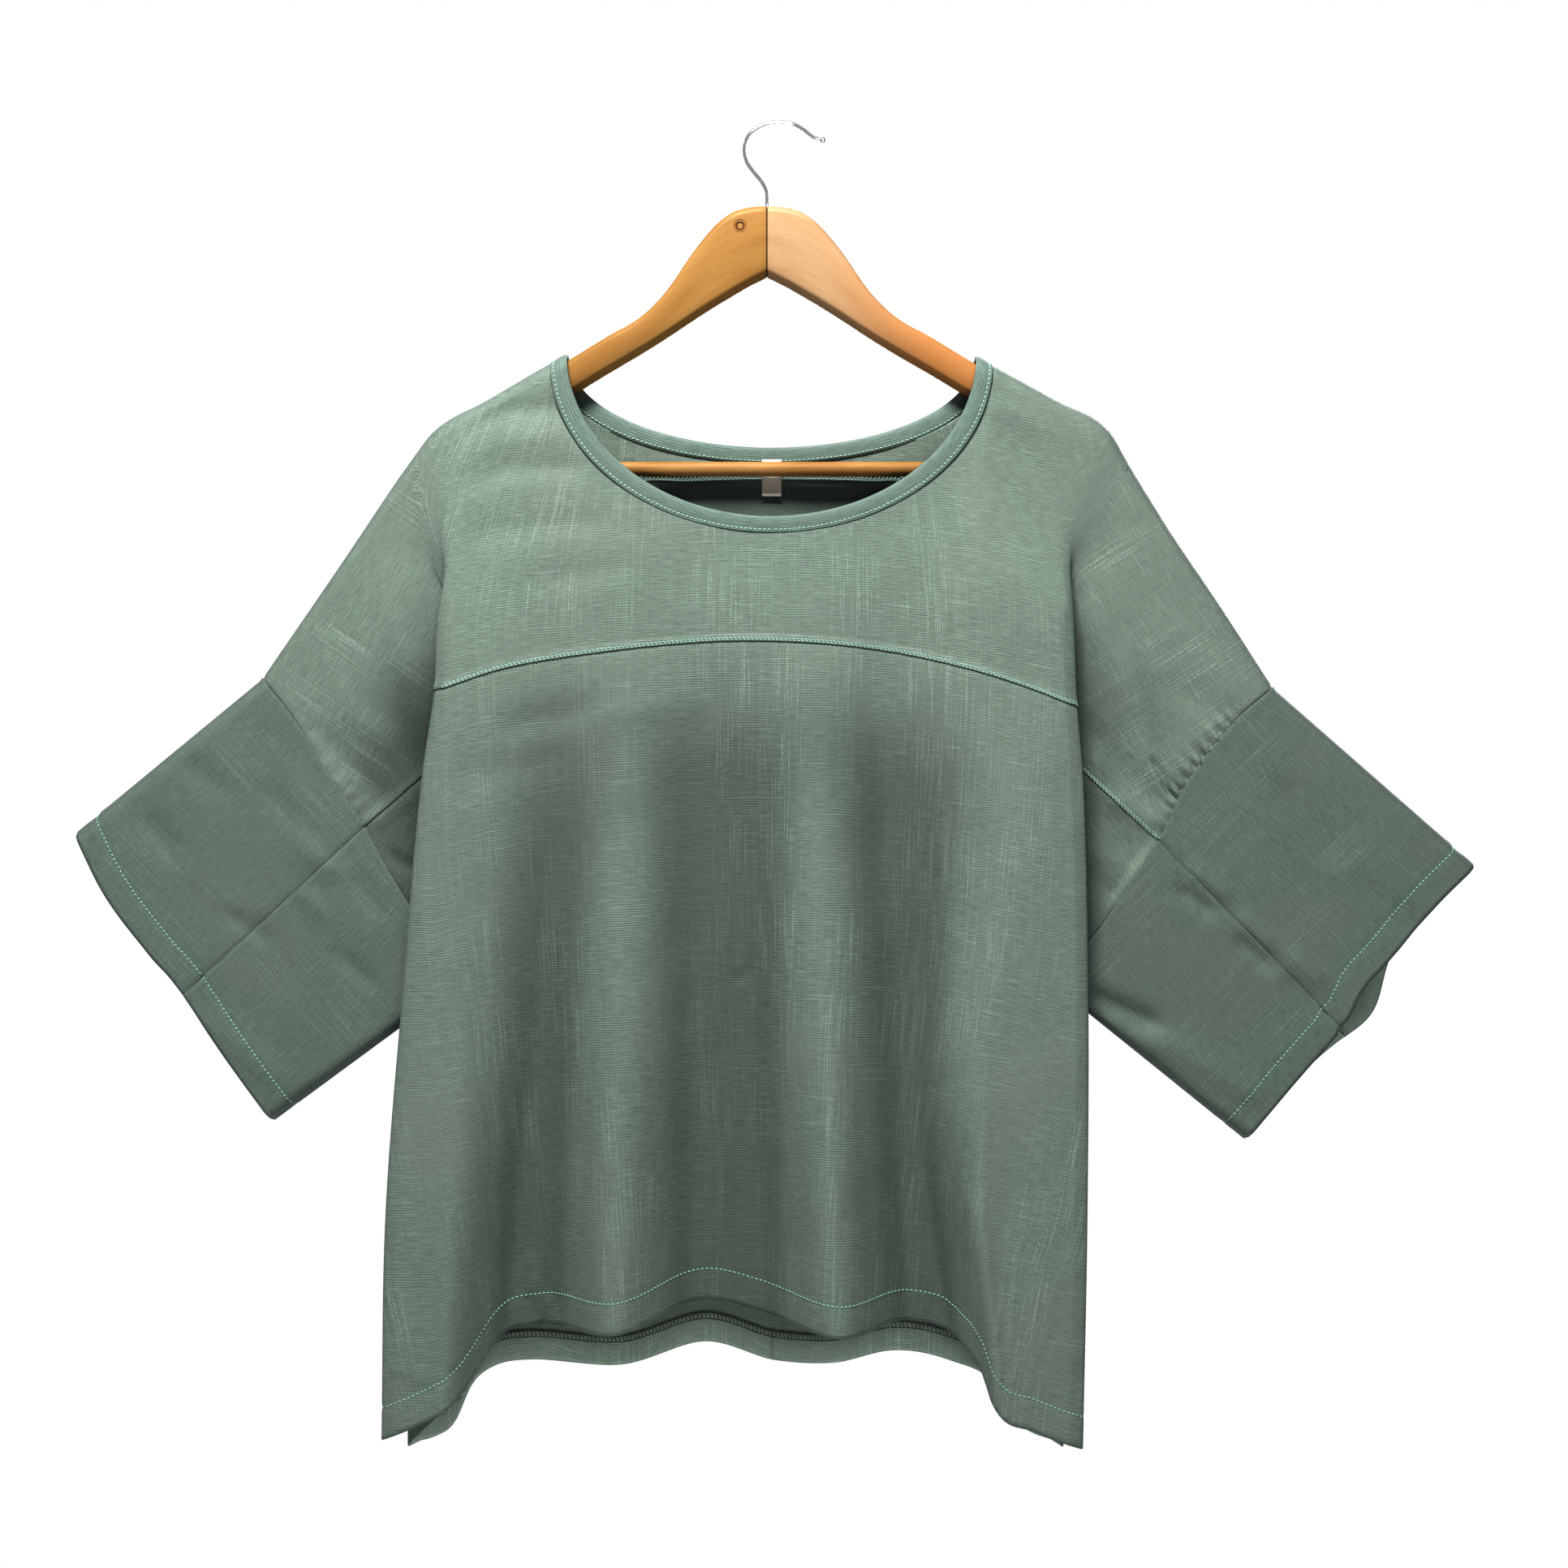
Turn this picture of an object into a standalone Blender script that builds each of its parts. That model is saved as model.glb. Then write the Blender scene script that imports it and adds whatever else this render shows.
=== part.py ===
"""A boxy batwing blouse hanging on a two-piece wooden hanger.

The frame: +Z up, the front faces -Y, +X is to the right as the front is looked at. The origin is the
inner top of the hanger's hook, where it hangs on a rod. All sizes below are in millimetres.

The cloth is one net of lines that run down the garment. From the middle outwards they are the front
panel, the fold edge of the body, the tuck behind it, the layer that runs out to the sleeve, and the
cuff seam. A place down a line is its level: 0 on the shoulder ridge or neckline, 1 at the yoke seam,
UNDERARM where the sleeve's lower fold meets the side seam, and 2 at the hem.
"""
import math

import bmesh
import bpy
import numpy as np

MM = 0.001

# Cloth
CLOTH = 1.2             # wall of one cloth layer
BAND = 2.0              # wall of the doubled neck binding
SEAM_GAP = 0.5          # between two pieces at a seam
TUCK_GAP = 3.0          # the same where the seam turns round the tuck's tight apex
NECK_GAP = 1.0          # the same between the yoke and the thicker neck binding
SIDE_SEAM_GAP = 1.8     # the same down the side seam, where front and back meet at an angle
UNDERARM_GAP = 3.4      # the same at the underarm point, where four pieces meet
UNDERARM = 1.36         # level of the underarm point
FOLD_REACH = 10.0       # least distance from a fold edge to the flat cloth beside it
FOLD_LIFT = 4.5         # how far a folded layer bows away from its edge
FLAP_START = 0.35       # the flap has left the tuck by this share of its width at most
FLAP_LIFT = 0.3         # and stands off the tuck by this share of its width at most
BEND_START = 0.3        # share of the half panel where its columns begin to follow the fold edge
FOLD_ROUND = 9.0        # radius of the cloth over the shoulder ridge and the sleeve's folds
FOLD_SLACK = 0.15       # flat width along such a fold's middle
RIDGE_POINTS = 120
WELD = 0.02             # points this near to one another are one point
SLEEVE_ROUND = 8.0      # how far each sleeve layer stands off its middle plane
SLEEVE_MIDDLE = -6.0    # depth of the plane between the sleeve's two layers
HEM_OPENING = 3.0       # how much further each sleeve layer stands off at the sleeve hem

# Neck
NECK_X = -6.0           # middle of the neckline
NECK_HALF_WIDTH = 142.0
NECK_BOTTOM = {"front": -266.5, "back": -219.0}
NECK_SHARE = {"left": 0.72, "right": 0.86}  # share of each half panel that lies below the neck opening
BINDING_WIDTH = 9.5
LABEL_WIDTH, LABEL_LENGTH, LABEL_WALL = 13.0, 23.0, 1.0
LABEL_GAP = 0.6         # between the label and the cloth behind it

# Where the mesh columns and rows lie
NECK_ANGLES = (0, 16, 32, 48, 62, 74, 82, 87, 90)
NECK_SPREAD = 0.8
SHOULDER_STEPS = 5
PANEL_COLUMNS = len(NECK_ANGLES) + SHOULDER_STEPS
FOLD_STEPS = (0.5, 1, 1.5, 2, 2.5, 2.8, 3)
TIGHT_STEPS = (-2, 3.5) # the steps from just before the fold edge to just past the tuck's apex
FLAP_STEPS = (3.5, 4, 4.7, 5.4, 6)
YOKE_LEVELS = (0, 0.015, 0.056, 0.25, 0.5, 0.75, 1)
FLAP_LEVELS = (1, 1.07, 1.15, 1.22, 1.28, 1.335, UNDERARM)
SKIRT_LEVELS = (UNDERARM, 1.43, 1.52, 1.61, 1.7, 1.8, 1.9, 2)
SLEEVE_STEPS = (0, 0.25, 0.5, 0.75, 1)

# The shoulder ridge and the overarm fold: x, z, y
RIDGE = {
    "left": ((-6, -68, 0), (-100, -131, 0), (-148, -155.5, 0), (-192, -181, 0), (-226, -201, 0),
             (-240, -219, -1), (-285, -286, -3), (-337, -363, -6)),
    "right": ((-6, -68, 0), (90, -132, 0), (138, -158, 0), (180, -181, 0), (214, -201, 0),
              (227, -223, -1), (253, -266, -3), (285, -314, -4), (320, -369, -6)),
}
# Fold edge of the body and apex of the tuck behind it: z, x, y
FRONT_EDGE = {
    "left": ((-199, -221, -9), (-244, -222, -14), (-292, -217, -19), (-334, -221, -24), (-372, -222, -27),
             (-425, -229, -29), (-555, -240, -33), (-706, -250, -42), (-844, -251, -50)),
    "right": ((-199, 212, -9), (-260, 190, -14), (-292, 187, -19), (-323, 188, -24), (-382, 190, -27),
              (-423, 193, -29), (-555, 196, -33), (-706, 194, -42), (-850, 190, -50)),
}
FRONT_TUCK = {
    "left": ((-216, -242, -9), (-260, -236, -11), (-305, -217, -14), (-352, -206, -17), (-394, -197, -18),
             (-441, -194, -18), (-540, -200, -18)),
    "right": ((-223, 227, -9), (-262, 208, -11), (-300, 188, -14), (-352, 173, -17), (-396, 166, -18),
              (-441, 163, -18), (-540, 168, -18)),
}
BACK_EDGE = {
    "left": ((-199, -221, 9), (-292, -216, 12.5), (-359, -220, 17), (-555, -236, 19.5), (-706, -245, 21.5),
             (-866, -247, 24)),
    "right": ((-199, 212, 9), (-292, 186, 12.5), (-362, 187, 17), (-555, 192, 19.5), (-706, 190, 21.5),
              (-870, 187, 24)),
}
BACK_TUCK = {
    "left": ((-216, -242, 9), (-305, -217, 8), (-384, -197, 7), (-441, -194, 6), (-540, -200, 6)),
    "right": ((-223, 227, 9), (-300, 188, 8), (-386, 166, 7), (-441, 163, 6), (-540, 168, 6)),
}
# Side seam from the underarm point to the hem, shared by front and back: z, x, y
SIDE_SEAM = {
    "left": ((-557, -204, -6), (-711, -204, -11), (-832, -205, -15)),
    "right": ((-557, 172, -6), (-711, 154, -11), (-838, 147, -15)),
}
# Cuff seam from the overarm fold past the yoke seam (level 1) to the underarm point: level, x, z
CUFF_SEAM = {
    "left": ((0, -337, -363), (0.33, -314, -392), (0.67, -291, -429), (1, -270, -459),
             (1.12, -255, -487), (1.25, -232, -523), (UNDERARM, -204, -557)),
    "right": ((0, 320, -369), (0.33, 292, -394), (0.67, 263, -432), (1, 245, -468),
              (1.12, 227, -495), (1.25, 203, -530), (UNDERARM, 172, -557)),
}
# Sleeve hem from its upper corner past the mid seam (level 1) to its lower corner: level, x, z
SLEEVE_HEM = {
    "left": ((0, -457, -462), (0.3, -437, -502), (0.67, -408, -541), (1, -386, -567),
             (1.18, -358, -609), (UNDERARM, -329, -649)),
    "right": ((0, 450, -483), (0.3, 422, -511), (0.67, 390, -548), (1, 357, -583),
              (1.18, 333, -621), (UNDERARM, 301, -661)),
}
# Yoke seam across the front and the back: x, z
FRONT_SEAM = ((-222, -372), (-178, -357), (-116, -346), (-48, -339), (-6, -338.5), (62, -344),
              (98, -351), (135, -361), (166, -372), (190, -382))
BACK_SEAM = ((-222, -359), (-150, -281), (-99, -235), (-60, -232), (60, -232), (84, -235),
             (125, -285), (190, -362))
# Depth of that seam at the tuck: z
SEAM_AT_TUCK = {"front": -395, "back": -385}
# Hem edge: x, z
FRONT_HEM = ((-251, -844), (-229, -835), (-205, -821), (-194, -806), (-184, -791), (-156, -782),
             (-103, -780), (-47, -766), (-3, -776), (38, -782), (85, -780), (113, -789), (128, -805),
             (134, -823), (161, -839), (190, -850))
BACK_HEM = ((-251, -869), (-229, -864), (-217, -855), (-205, -829), (-190, -816), (-165, -811),
            (-107, -817), (-50, -799), (-3, -812), (35, -816), (75, -805), (113, -812), (140, -826),
            (158, -855), (190, -870))
HEM_AT_SIDE_SEAM = {"left": -832, "right": -838}
# Folds of the panels: x at the yoke seam, x at the hem, rise at the seam, rise at the hem, half width
FRONT_FOLDS = (
    (-100, -106, 2, 41, 52),
    (20, 36, 3, 43, 50),
)
BACK_FOLDS = (
    (-90, -112, 1, 10, 48),
    (30, 33, 1, 11, 46),
)
# The flank of a panel's outer flap, as shares of its half width: level, where it starts, where it ends
FRONT_FLAPS = {
    "left": ((1, 0.35, 1.0), (1.35, 0.58, 0.94), (1.7, 0.66, 0.87), (2, 0.71, 0.88)),
    "right": ((1, 0.35, 1.0), (1.35, 0.46, 0.8), (1.7, 0.48, 0.7), (2, 0.6, 0.78)),
}
BACK_FLAPS = {side: ((1, 0.3, 1.0), (2, 0.7, 1.0)) for side in ("left", "right")}
# Depth of the panel's middle: level, y
FRONT_MIDDLE = ((0, -12), (1, -16), (1.4, -14), (2, -5))
BACK_MIDDLE = ((0, 10.5), (1, 11), (1.4, 15), (2, 19))

# Hanger: x from the joint line, top z, bottom z of one arm
ARM_PROFILE = ((0, -54, -100), (12, -55, -106), (24, -59, -113), (34, -67, -119), (48, -84, -128),
               (66, -110, -140), (82, -126, -150), (104, -139, -163), (135, -158, -182),
               (168, -177, -202), (190, -190, -226), (205, -199, -237), (217, -208, -231))
ARM_STRETCH = {"left": 1.0, "right": 1.02}
ARM_JOINT_X = -9.0
ARM_THICKNESS = 13.5
ARM_ROUND = 5.5
ARM_JOINT_GAP = 0.4
ARM_CORNER_POINTS = 3
ARM_SHARP_ANGLE = 40    # degrees between faces that meet at a crisp edge
BAR_RADIUS = 4.8
BAR_Z = -225.3
BAR_HALF_LENGTH = 208.0
BAR_SIDES, BORE_SIDES = 16, 20
BORE_CLEARANCE = 0.4
WIRE_RADIUS = 1.15
BALL_RADIUS = 2.0
BALL_ANGLES = (15, 40, 65, 90, 115)  # rings of the ball, from its pole to the wire
STEM_END_Z = -74.0
# Hook wire from its ball end over the rod to the stem: x, z
HOOK_ROUTE = ((27.5, -10.6), (21, -8.4), (14.5, -3.4), (7.5, 0.3), (0, 1.15), (-7, 0.8), (-13, -1.2),
              (-18.5, -4.8), (-22.4, -10), (-23.9, -17), (-22, -25), (-17.5, -31.5), (-12.6, -37.5),
              (-9.6, -43), (-9, -48), (-9, STEM_END_Z))
HOOK_SMOOTHING = 4

COLOURS = {
    "cloth": (0.195, 0.260, 0.216),
    "cuff_cloth": (0.130, 0.170, 0.138),
    "binding": (0.160, 0.215, 0.180),
    "label": (0.78, 0.78, 0.75),
    "golden_wood": (0.62, 0.31, 0.095),
    "pale_wood": (0.76, 0.44, 0.20),
    "bar_wood": (0.50, 0.31, 0.11),
    "chrome": (0.70, 0.70, 0.72),
}


# ---------------------------------------------------------------- smooth lines

def smooth(knots, values, places):
    """Reads a smooth curve through the values, given at rising knots, at the places asked for."""
    knots = np.asarray(knots, float)
    values = np.asarray(values, float)
    places = np.clip(np.asarray(places, float), knots[0], knots[-1])
    chords = np.diff(values, axis=0) / np.diff(knots).reshape((-1,) + (1,) * (values.ndim - 1))
    slopes = np.concatenate([chords[:1], (chords[1:] + chords[:-1]) / 2, chords[-1:]])
    cell = np.clip(np.searchsorted(knots, places, side="right") - 1, 0, len(knots) - 2)
    length = knots[cell + 1] - knots[cell]
    t = (places - knots[cell]) / length
    shape = t.shape + (1,) * (values.ndim - 1)
    t, length = t.reshape(shape), length.reshape(shape)
    return ((2 * t ** 3 - 3 * t ** 2 + 1) * values[cell] + (t ** 3 - 2 * t ** 2 + t) * length * slopes[cell]
            + (3 * t ** 2 - 2 * t ** 3) * values[cell + 1] + (t ** 3 - t ** 2) * length * slopes[cell + 1])


def read_table(table, places):
    """Reads the other columns of a table at places along its first column, which may rise or fall."""
    rows = np.array(sorted(table), float)
    return smooth(rows[:, 0], rows[:, 1:], places)


def ease(start, end, value):
    """0 before the start, 1 after the end and a soft step between."""
    t = np.clip((value - start) / (end - start), 0, 1)
    return t * t * (3 - 2 * t)


def distance_to_line(x, z, line):
    """Shortest distance in the front view from each point to a line of points."""
    start, end = line[:-1], line[1:]
    along = end - start
    to_point = np.stack([x, z], -1)[..., None, :] - start
    share = np.clip((to_point * along).sum(-1) / (along * along).sum(-1), 0, 1)
    return np.sqrt(((to_point - share[..., None] * along) ** 2).sum(-1)).min(-1)


def roundness(distance, radius):
    """How far a layer has come off its fold line: 0 on the line and 1 a radius away from it."""
    return np.sqrt(1 - (1 - np.clip(distance / radius, 0, 1)) ** 2)


def ridge_at(side, x):
    """Height and depth of the shoulder ridge over x."""
    return read_table(RIDGE[side], x)


def upper_fold(side):
    """The shoulder ridge and the overarm fold as a fine line in the front view, on to the sleeve hem."""
    rows = np.array(RIDGE[side], float)
    x = np.linspace(rows[0, 0], rows[-1, 0], RIDGE_POINTS)
    ridge = np.stack([x, ridge_at(side, x)[..., 0]], -1)
    return np.vstack([ridge, SLEEVE_HEM[side][0][1:]])


def lower_fold(side):
    """The sleeve's lower fold from the underarm point to the sleeve hem."""
    return np.array([CUFF_SEAM[side][-1][1:], SLEEVE_HEM[side][-1][1:]], float)


def bend_over(points, line, middle):
    """Bends flat layers round a fold line, whose depth is the middle between front and back."""
    x, y, z = points[..., 0], points[..., 1], points[..., 2]
    off = roundness(distance_to_line(x, z, line) - FOLD_SLACK, FOLD_ROUND)
    return np.stack([x, middle + (y - middle) * off, z], -1)


# ---------------------------------------------------------------- the net of one side and one face

class Sheet:
    """The front or back cloth of one side, from the middle of the garment out to the cuff seam."""

    def __init__(self, side, face):
        front = face == "front"
        self.side, self.face = side, face
        self.out = -1 if side == "left" else 1
        self.outwards = -1 if front else 1
        self.edge = (FRONT_EDGE if front else BACK_EDGE)[side]
        self.tuck = (FRONT_TUCK if front else BACK_TUCK)[side]
        self.seam = FRONT_SEAM if front else BACK_SEAM
        self.hem = FRONT_HEM if front else BACK_HEM
        self.folds = FRONT_FOLDS if front else BACK_FOLDS
        self.flaps = (FRONT_FLAPS if front else BACK_FLAPS)[side]
        self.middle = FRONT_MIDDLE if front else BACK_MIDDLE
        self.neck_bottom = NECK_BOTTOM[face]
        end = 0 if side == "left" else -1
        self.edge_levels = (self.edge[0][0], self.seam[end][1], self.hem[end][1])

    def edge_points(self, level):
        """Points of the body's fold edge."""
        z = np.interp(level, (0, 1, 2), self.edge_levels)
        xy = read_table(self.edge, z)
        return np.stack([xy[..., 0], xy[..., 1], z], -1)

    def tuck_points(self, level):
        """Points of the tuck's apex, which becomes the side seam below the underarm point."""
        side_seam = SIDE_SEAM[self.side]
        underarm_z, underarm_x, _ = side_seam[0]
        levels = (self.tuck[0][0], SEAM_AT_TUCK[self.face], underarm_z, HEM_AT_SIDE_SEAM[self.side])
        z = np.interp(level, (0, 1, UNDERARM, 2), levels)
        tuck = self.tuck + ((underarm_z, underarm_x, self.tuck[-1][2]),)
        above, below = read_table(tuck, z), read_table(side_seam, z)
        xy = np.where(np.asarray(level)[..., None] < UNDERARM, above, below)
        return np.stack([xy[..., 0], xy[..., 1], z], -1)

    def cuff_points(self, level):
        """Points of the cuff seam, before the sleeve's folds round it."""
        xz = read_table(CUFF_SEAM[self.side], np.minimum(level, UNDERARM))
        y = np.full(len(xz), SLEEVE_MIDDLE + self.outwards * SLEEVE_ROUND)
        return np.stack([xz[:, 0], y, xz[:, 1]], -1)

    def flat_ends(self, level):
        """Where the flat panel ends beside its fold edge, and how far the layers bow apart there."""
        edge, tuck = self.edge_points(level), self.tuck_points(level)
        reach = np.maximum((edge[:, 0] - tuck[:, 0]) * self.out / 2, FOLD_REACH)
        lift = np.minimum(np.abs(tuck[:, 1] - edge[:, 1]) / 2, FOLD_LIFT)
        return edge[:, 0] - self.out * reach, edge[:, 1] + self.outwards * lift, reach, lift

    def panel_points(self, level, share):
        """Points of the flat panel: share 0 is the middle and share 1 the end beside the fold edge."""
        end_x, end_y, _, _ = self.flat_ends(level)
        top_end_x, seam_end_x, hem_end_x = self.flat_ends(np.array([0.0, 1.0, 2.0]))[0]
        level, share = level[None, :], share[:, None]
        neck_share = NECK_SHARE[self.side]
        neck_angle = np.minimum(share / neck_share, 1) ** (1 / NECK_SPREAD) * math.pi / 2
        neck_half_width = NECK_HALF_WIDTH + NECK_GAP
        neck_side_x = NECK_X + self.out * neck_half_width
        past_neck = np.maximum(share - neck_share, 0) / (1 - neck_share)
        top_x = (NECK_X + self.out * neck_half_width * np.sin(neck_angle)
                 + (top_end_x - neck_side_x) * past_neck)
        neck_side_z = ridge_at(self.side, neck_side_x)[0]
        neck_z = neck_side_z + (self.neck_bottom - NECK_GAP - neck_side_z) * np.cos(neck_angle)
        top_z = np.where(share < neck_share, neck_z, ridge_at(self.side, top_x)[..., 0])
        seam_x = NECK_X + (seam_end_x - NECK_X) * share
        seam_z = read_table(self.seam, seam_x)[..., 0]
        bend = end_x - (top_end_x + (seam_end_x - top_end_x) * level)
        yoke_x = top_x + (seam_x - top_x) * level + bend * ease(BEND_START, 1, share)
        yoke_z = top_z + (seam_z - top_z) * level
        skirt_x = NECK_X + (end_x - NECK_X) * share
        hem_z = read_table(self.hem, NECK_X + (hem_end_x - NECK_X) * share)[..., 0]
        skirt_z = seam_z + (hem_z - seam_z) * (level - 1)
        x = np.where(level < 1, yoke_x, skirt_x)
        z = np.where(level < 1, yoke_z, skirt_z)
        return np.stack([x, self.panel_depth(x, level, share, end_y), z], -1)

    def panel_depth(self, x, level, share, end_y):
        """Depth of the panel: its middle, its outer flap and its hanging folds."""
        down = np.clip(level - 1, 0, 1)
        flank = read_table(self.flaps, level)
        middle = read_table(self.middle, level)[..., 0]
        y = middle + (end_y - middle) * ease(flank[..., 0], flank[..., 1], share)
        for x_seam, x_hem, rise_seam, rise_hem, half_width in self.folds:
            fold_x = x_seam + (x_hem - x_seam) * down
            rise = rise_seam * np.clip(level, 0, 1) + (rise_hem - rise_seam) * down
            reach = np.clip(np.abs(x - fold_x) / half_width, 0, 1)
            y = y + self.outwards * rise * (1 + np.cos(math.pi * reach)) / 2
        return y

    def rows(self, level, share, steps):
        """The cloth as columns by rows: the panel's shares, then steps past it.

        Step 1 is the fold edge, 2 the middle of the layer that returns behind the panel, 3 the tuck, 4 the
        start of the layer that runs out to the sleeve and 6 the cuff seam.
        """
        level = np.concatenate([[0.0], level])
        panel = self.panel_points(level, np.asarray(share, float))
        edge, tuck, cuff = self.edge_points(level), self.tuck_points(level), self.cuff_points(level)
        _, _, reach, lift = self.flat_ends(level)
        returning = (edge + tuck) / 2
        returning[:, 1] = (edge[:, 1] + read_table(self.tuck, tuck[:, 2])[:, 1]) / 2
        to_cuff = cuff - tuck
        width = np.maximum(np.linalg.norm(to_cuff[:, ::2], axis=-1), 1e-6)
        start = tuck + to_cuff * (np.minimum(reach, FLAP_START * width) / width)[:, None]
        start[:, 1] = tuck[:, 1] - self.outwards * np.minimum(lift, FLAP_LIFT * width)
        outer = np.stack([tuck, start, (start + cuff) / 2, cuff])
        above = (level < UNDERARM)[:, None]
        outer = np.where(above, bend_over(outer, lower_fold(self.side), SLEEVE_MIDDLE), outer)
        if steps[-1] <= 3:
            other = Sheet(self.side, "back" if self.face == "front" else "front")
            mirrored = (other.edge_points(level) + other.tuck_points(level)) / 2
            outer[1] = np.where(above, outer[1], mirrored)
        net = np.concatenate([np.stack([panel[-2], panel[-1], edge, returning]), outer])
        cloth = np.concatenate([panel, smooth(np.arange(-1, 7), net, steps)])
        below_ridge = ridge_at(self.side, cloth[:, :1, 0])[..., 0] - cloth[:, :1, 2]
        below_ridge[:len(panel)] = 0
        cloth[..., 2] += below_ridge * np.clip(1 - level, 0, 1) ** 2
        cloth = cloth[:, 1:]
        return bend_over(cloth, upper_fold(self.side), ridge_at(self.side, cloth[..., 0])[..., 1])


def sleeve_rows(side, face, level, along):
    """One layer of the sleeve end: levels run as on the cuff seam, along is 0 there and 1 at the hem."""
    level = np.asarray(level, float)
    seam = read_table(CUFF_SEAM[side], level)[:, None, :]
    hem = read_table(SLEEVE_HEM[side], level)[:, None, :]
    along = np.asarray(along, float)[None, :]
    xz = seam + (hem - seam) * along[..., None]
    stand_off = SLEEVE_ROUND + HEM_OPENING * along ** 2 + 0 * xz[..., 0]
    y = SLEEVE_MIDDLE + (-stand_off if face == "front" else stand_off)
    layer = np.stack([xz[..., 0], y, xz[..., 1]], -1)
    layer = bend_over(layer, lower_fold(side), SLEEVE_MIDDLE)
    return bend_over(layer, upper_fold(side), ridge_at(side, layer[..., 0])[..., 1])


# ---------------------------------------------------------------- making objects

def material(name, roughness=0.85, metallic=0.0):
    made = bpy.data.materials.get(name) or bpy.data.materials.new(name)
    made.use_nodes = True
    shader = made.node_tree.nodes["Principled BSDF"]
    shader.inputs["Base Color"].default_value = COLOURS[name] + (1,)
    shader.inputs["Roughness"].default_value = roughness
    shader.inputs["Metallic"].default_value = metallic
    made.diffuse_color = COLOURS[name] + (1,)
    return made


def add_object(name, mesh, finish):
    made = bpy.data.objects.new(name, mesh)
    bpy.context.scene.collection.objects.link(made)
    if finish:
        mesh.materials.append(finish)
    return made


def grid_faces(columns, rows, closed=False):
    """Quads of a grid whose points are counted row by row within each column."""
    wide = columns if closed else columns - 1
    return [((c % columns) * rows + r, ((c + 1) % columns) * rows + r,
             ((c + 1) % columns) * rows + r + 1, (c % columns) * rows + r + 1)
            for c in range(wide) for r in range(rows - 1)]


def cloth_object(name, grids, finish, wall=CLOTH):
    """Sews grids of points that share their edges into one sheet and gives it its wall."""
    work = bmesh.new()
    for grid in grids:
        columns, rows = grid.shape[:2]
        points = [work.verts.new(point) for point in grid.reshape(-1, 3) * MM]
        for face in grid_faces(columns, rows):
            work.faces.new([points[i] for i in face])
    bmesh.ops.remove_doubles(work, verts=work.verts, dist=WELD * MM)
    bmesh.ops.dissolve_degenerate(work, edges=work.edges, dist=WELD / 2 * MM)
    bmesh.ops.recalc_face_normals(work, faces=work.faces)
    for face in work.faces:
        face.smooth = True
    for edge in work.edges:
        edge.smooth = not edge.is_boundary
    mesh = bpy.data.meshes.new(name)
    work.to_mesh(mesh)
    work.free()
    made = add_object(name, mesh, finish)
    thick = made.modifiers.new("wall", "SOLIDIFY")
    thick.thickness = wall * MM
    thick.offset = 0
    return made


def draw_in(grid, column=None, row=None, by=SEAM_GAP / 2):
    """Pulls one outer column or row of a grid back from the seam, along the cloth, by one or more sizes."""
    if column is not None:
        edge, inner = grid[column], grid[column + 1 if column == 0 else column - 1]
    else:
        edge, inner = grid[:, row], grid[:, row + 1 if row == 0 else row - 1]
    step = inner - edge
    length = np.maximum(np.linalg.norm(step, axis=-1, keepdims=True), 1e-6)
    edge += step / length * np.minimum(np.reshape(by, (-1, 1)), length / 2)


# ---------------------------------------------------------------- the pieces of the blouse

def column_shares(side):
    """Shares of the half panel: the neck's angles, then even steps along the shoulder."""
    neck = NECK_SHARE[side] * (np.array(NECK_ANGLES) / 90) ** NECK_SPREAD
    shoulder = np.linspace(NECK_SHARE[side], 1, SHOULDER_STEPS + 1)[1:]
    return np.concatenate([neck, shoulder])


def yoke_seam_gaps(steps):
    """How far each column is drawn in at the yoke seam: more round the tuck's apex."""
    steps = np.concatenate([np.arange(1 - PANEL_COLUMNS, 1), steps])
    tight = (steps >= TIGHT_STEPS[0]) & (steps <= TIGHT_STEPS[1])
    return np.where(tight, TUCK_GAP, SEAM_GAP) / 2


def make_yoke():
    """One piece over both shoulders and upper arms, with the neck hole in its middle."""
    grids = []
    steps = FOLD_STEPS + FLAP_STEPS
    for side in ("left", "right"):
        for face in ("front", "back"):
            grid = Sheet(side, face).rows(YOKE_LEVELS, column_shares(side), steps)
            draw_in(grid, row=-1, by=yoke_seam_gaps(steps))
            draw_in(grid, column=-1)
            grids.append(grid)
    return cloth_object("yoke", grids, material("cloth"))


def flap_gaps():
    """How far each row is drawn in at the cuff seam under the arm: more near the underarm point."""
    near = ease(FLAP_LEVELS[-4], FLAP_LEVELS[-2], np.array(FLAP_LEVELS))
    return (SEAM_GAP + (UNDERARM_GAP - SEAM_GAP) * near) / 2


def make_body(name, face):
    """Front or back below the yoke seam: the panel, its side gussets and the flaps under the sleeves."""
    grids = []
    steps = FOLD_STEPS + FLAP_STEPS
    flap_start = PANEL_COLUMNS + len(FOLD_STEPS) - 1
    underarm_row = len(FLAP_LEVELS) - 1
    for side in ("left", "right"):
        sheet = Sheet(side, face)
        panel = sheet.rows(FLAP_LEVELS + SKIRT_LEVELS[1:], column_shares(side), FOLD_STEPS)
        flap = sheet.rows(FLAP_LEVELS, column_shares(side), steps)[flap_start:]
        draw_in(panel[:, underarm_row:], column=-1, by=SIDE_SEAM_GAP / 2)
        flap[0, -1] = panel[-1, underarm_row]
        flap[:, -1] = flap[0, -1]
        draw_in(flap[:, :-1], column=-1, by=flap_gaps()[:-1])
        gaps = yoke_seam_gaps(steps)
        draw_in(panel, row=0, by=gaps[:len(panel)])
        draw_in(flap, row=0, by=gaps[flap_start:])
        grids += [panel, flap]
    return cloth_object(name, grids, material("cloth"))


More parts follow.
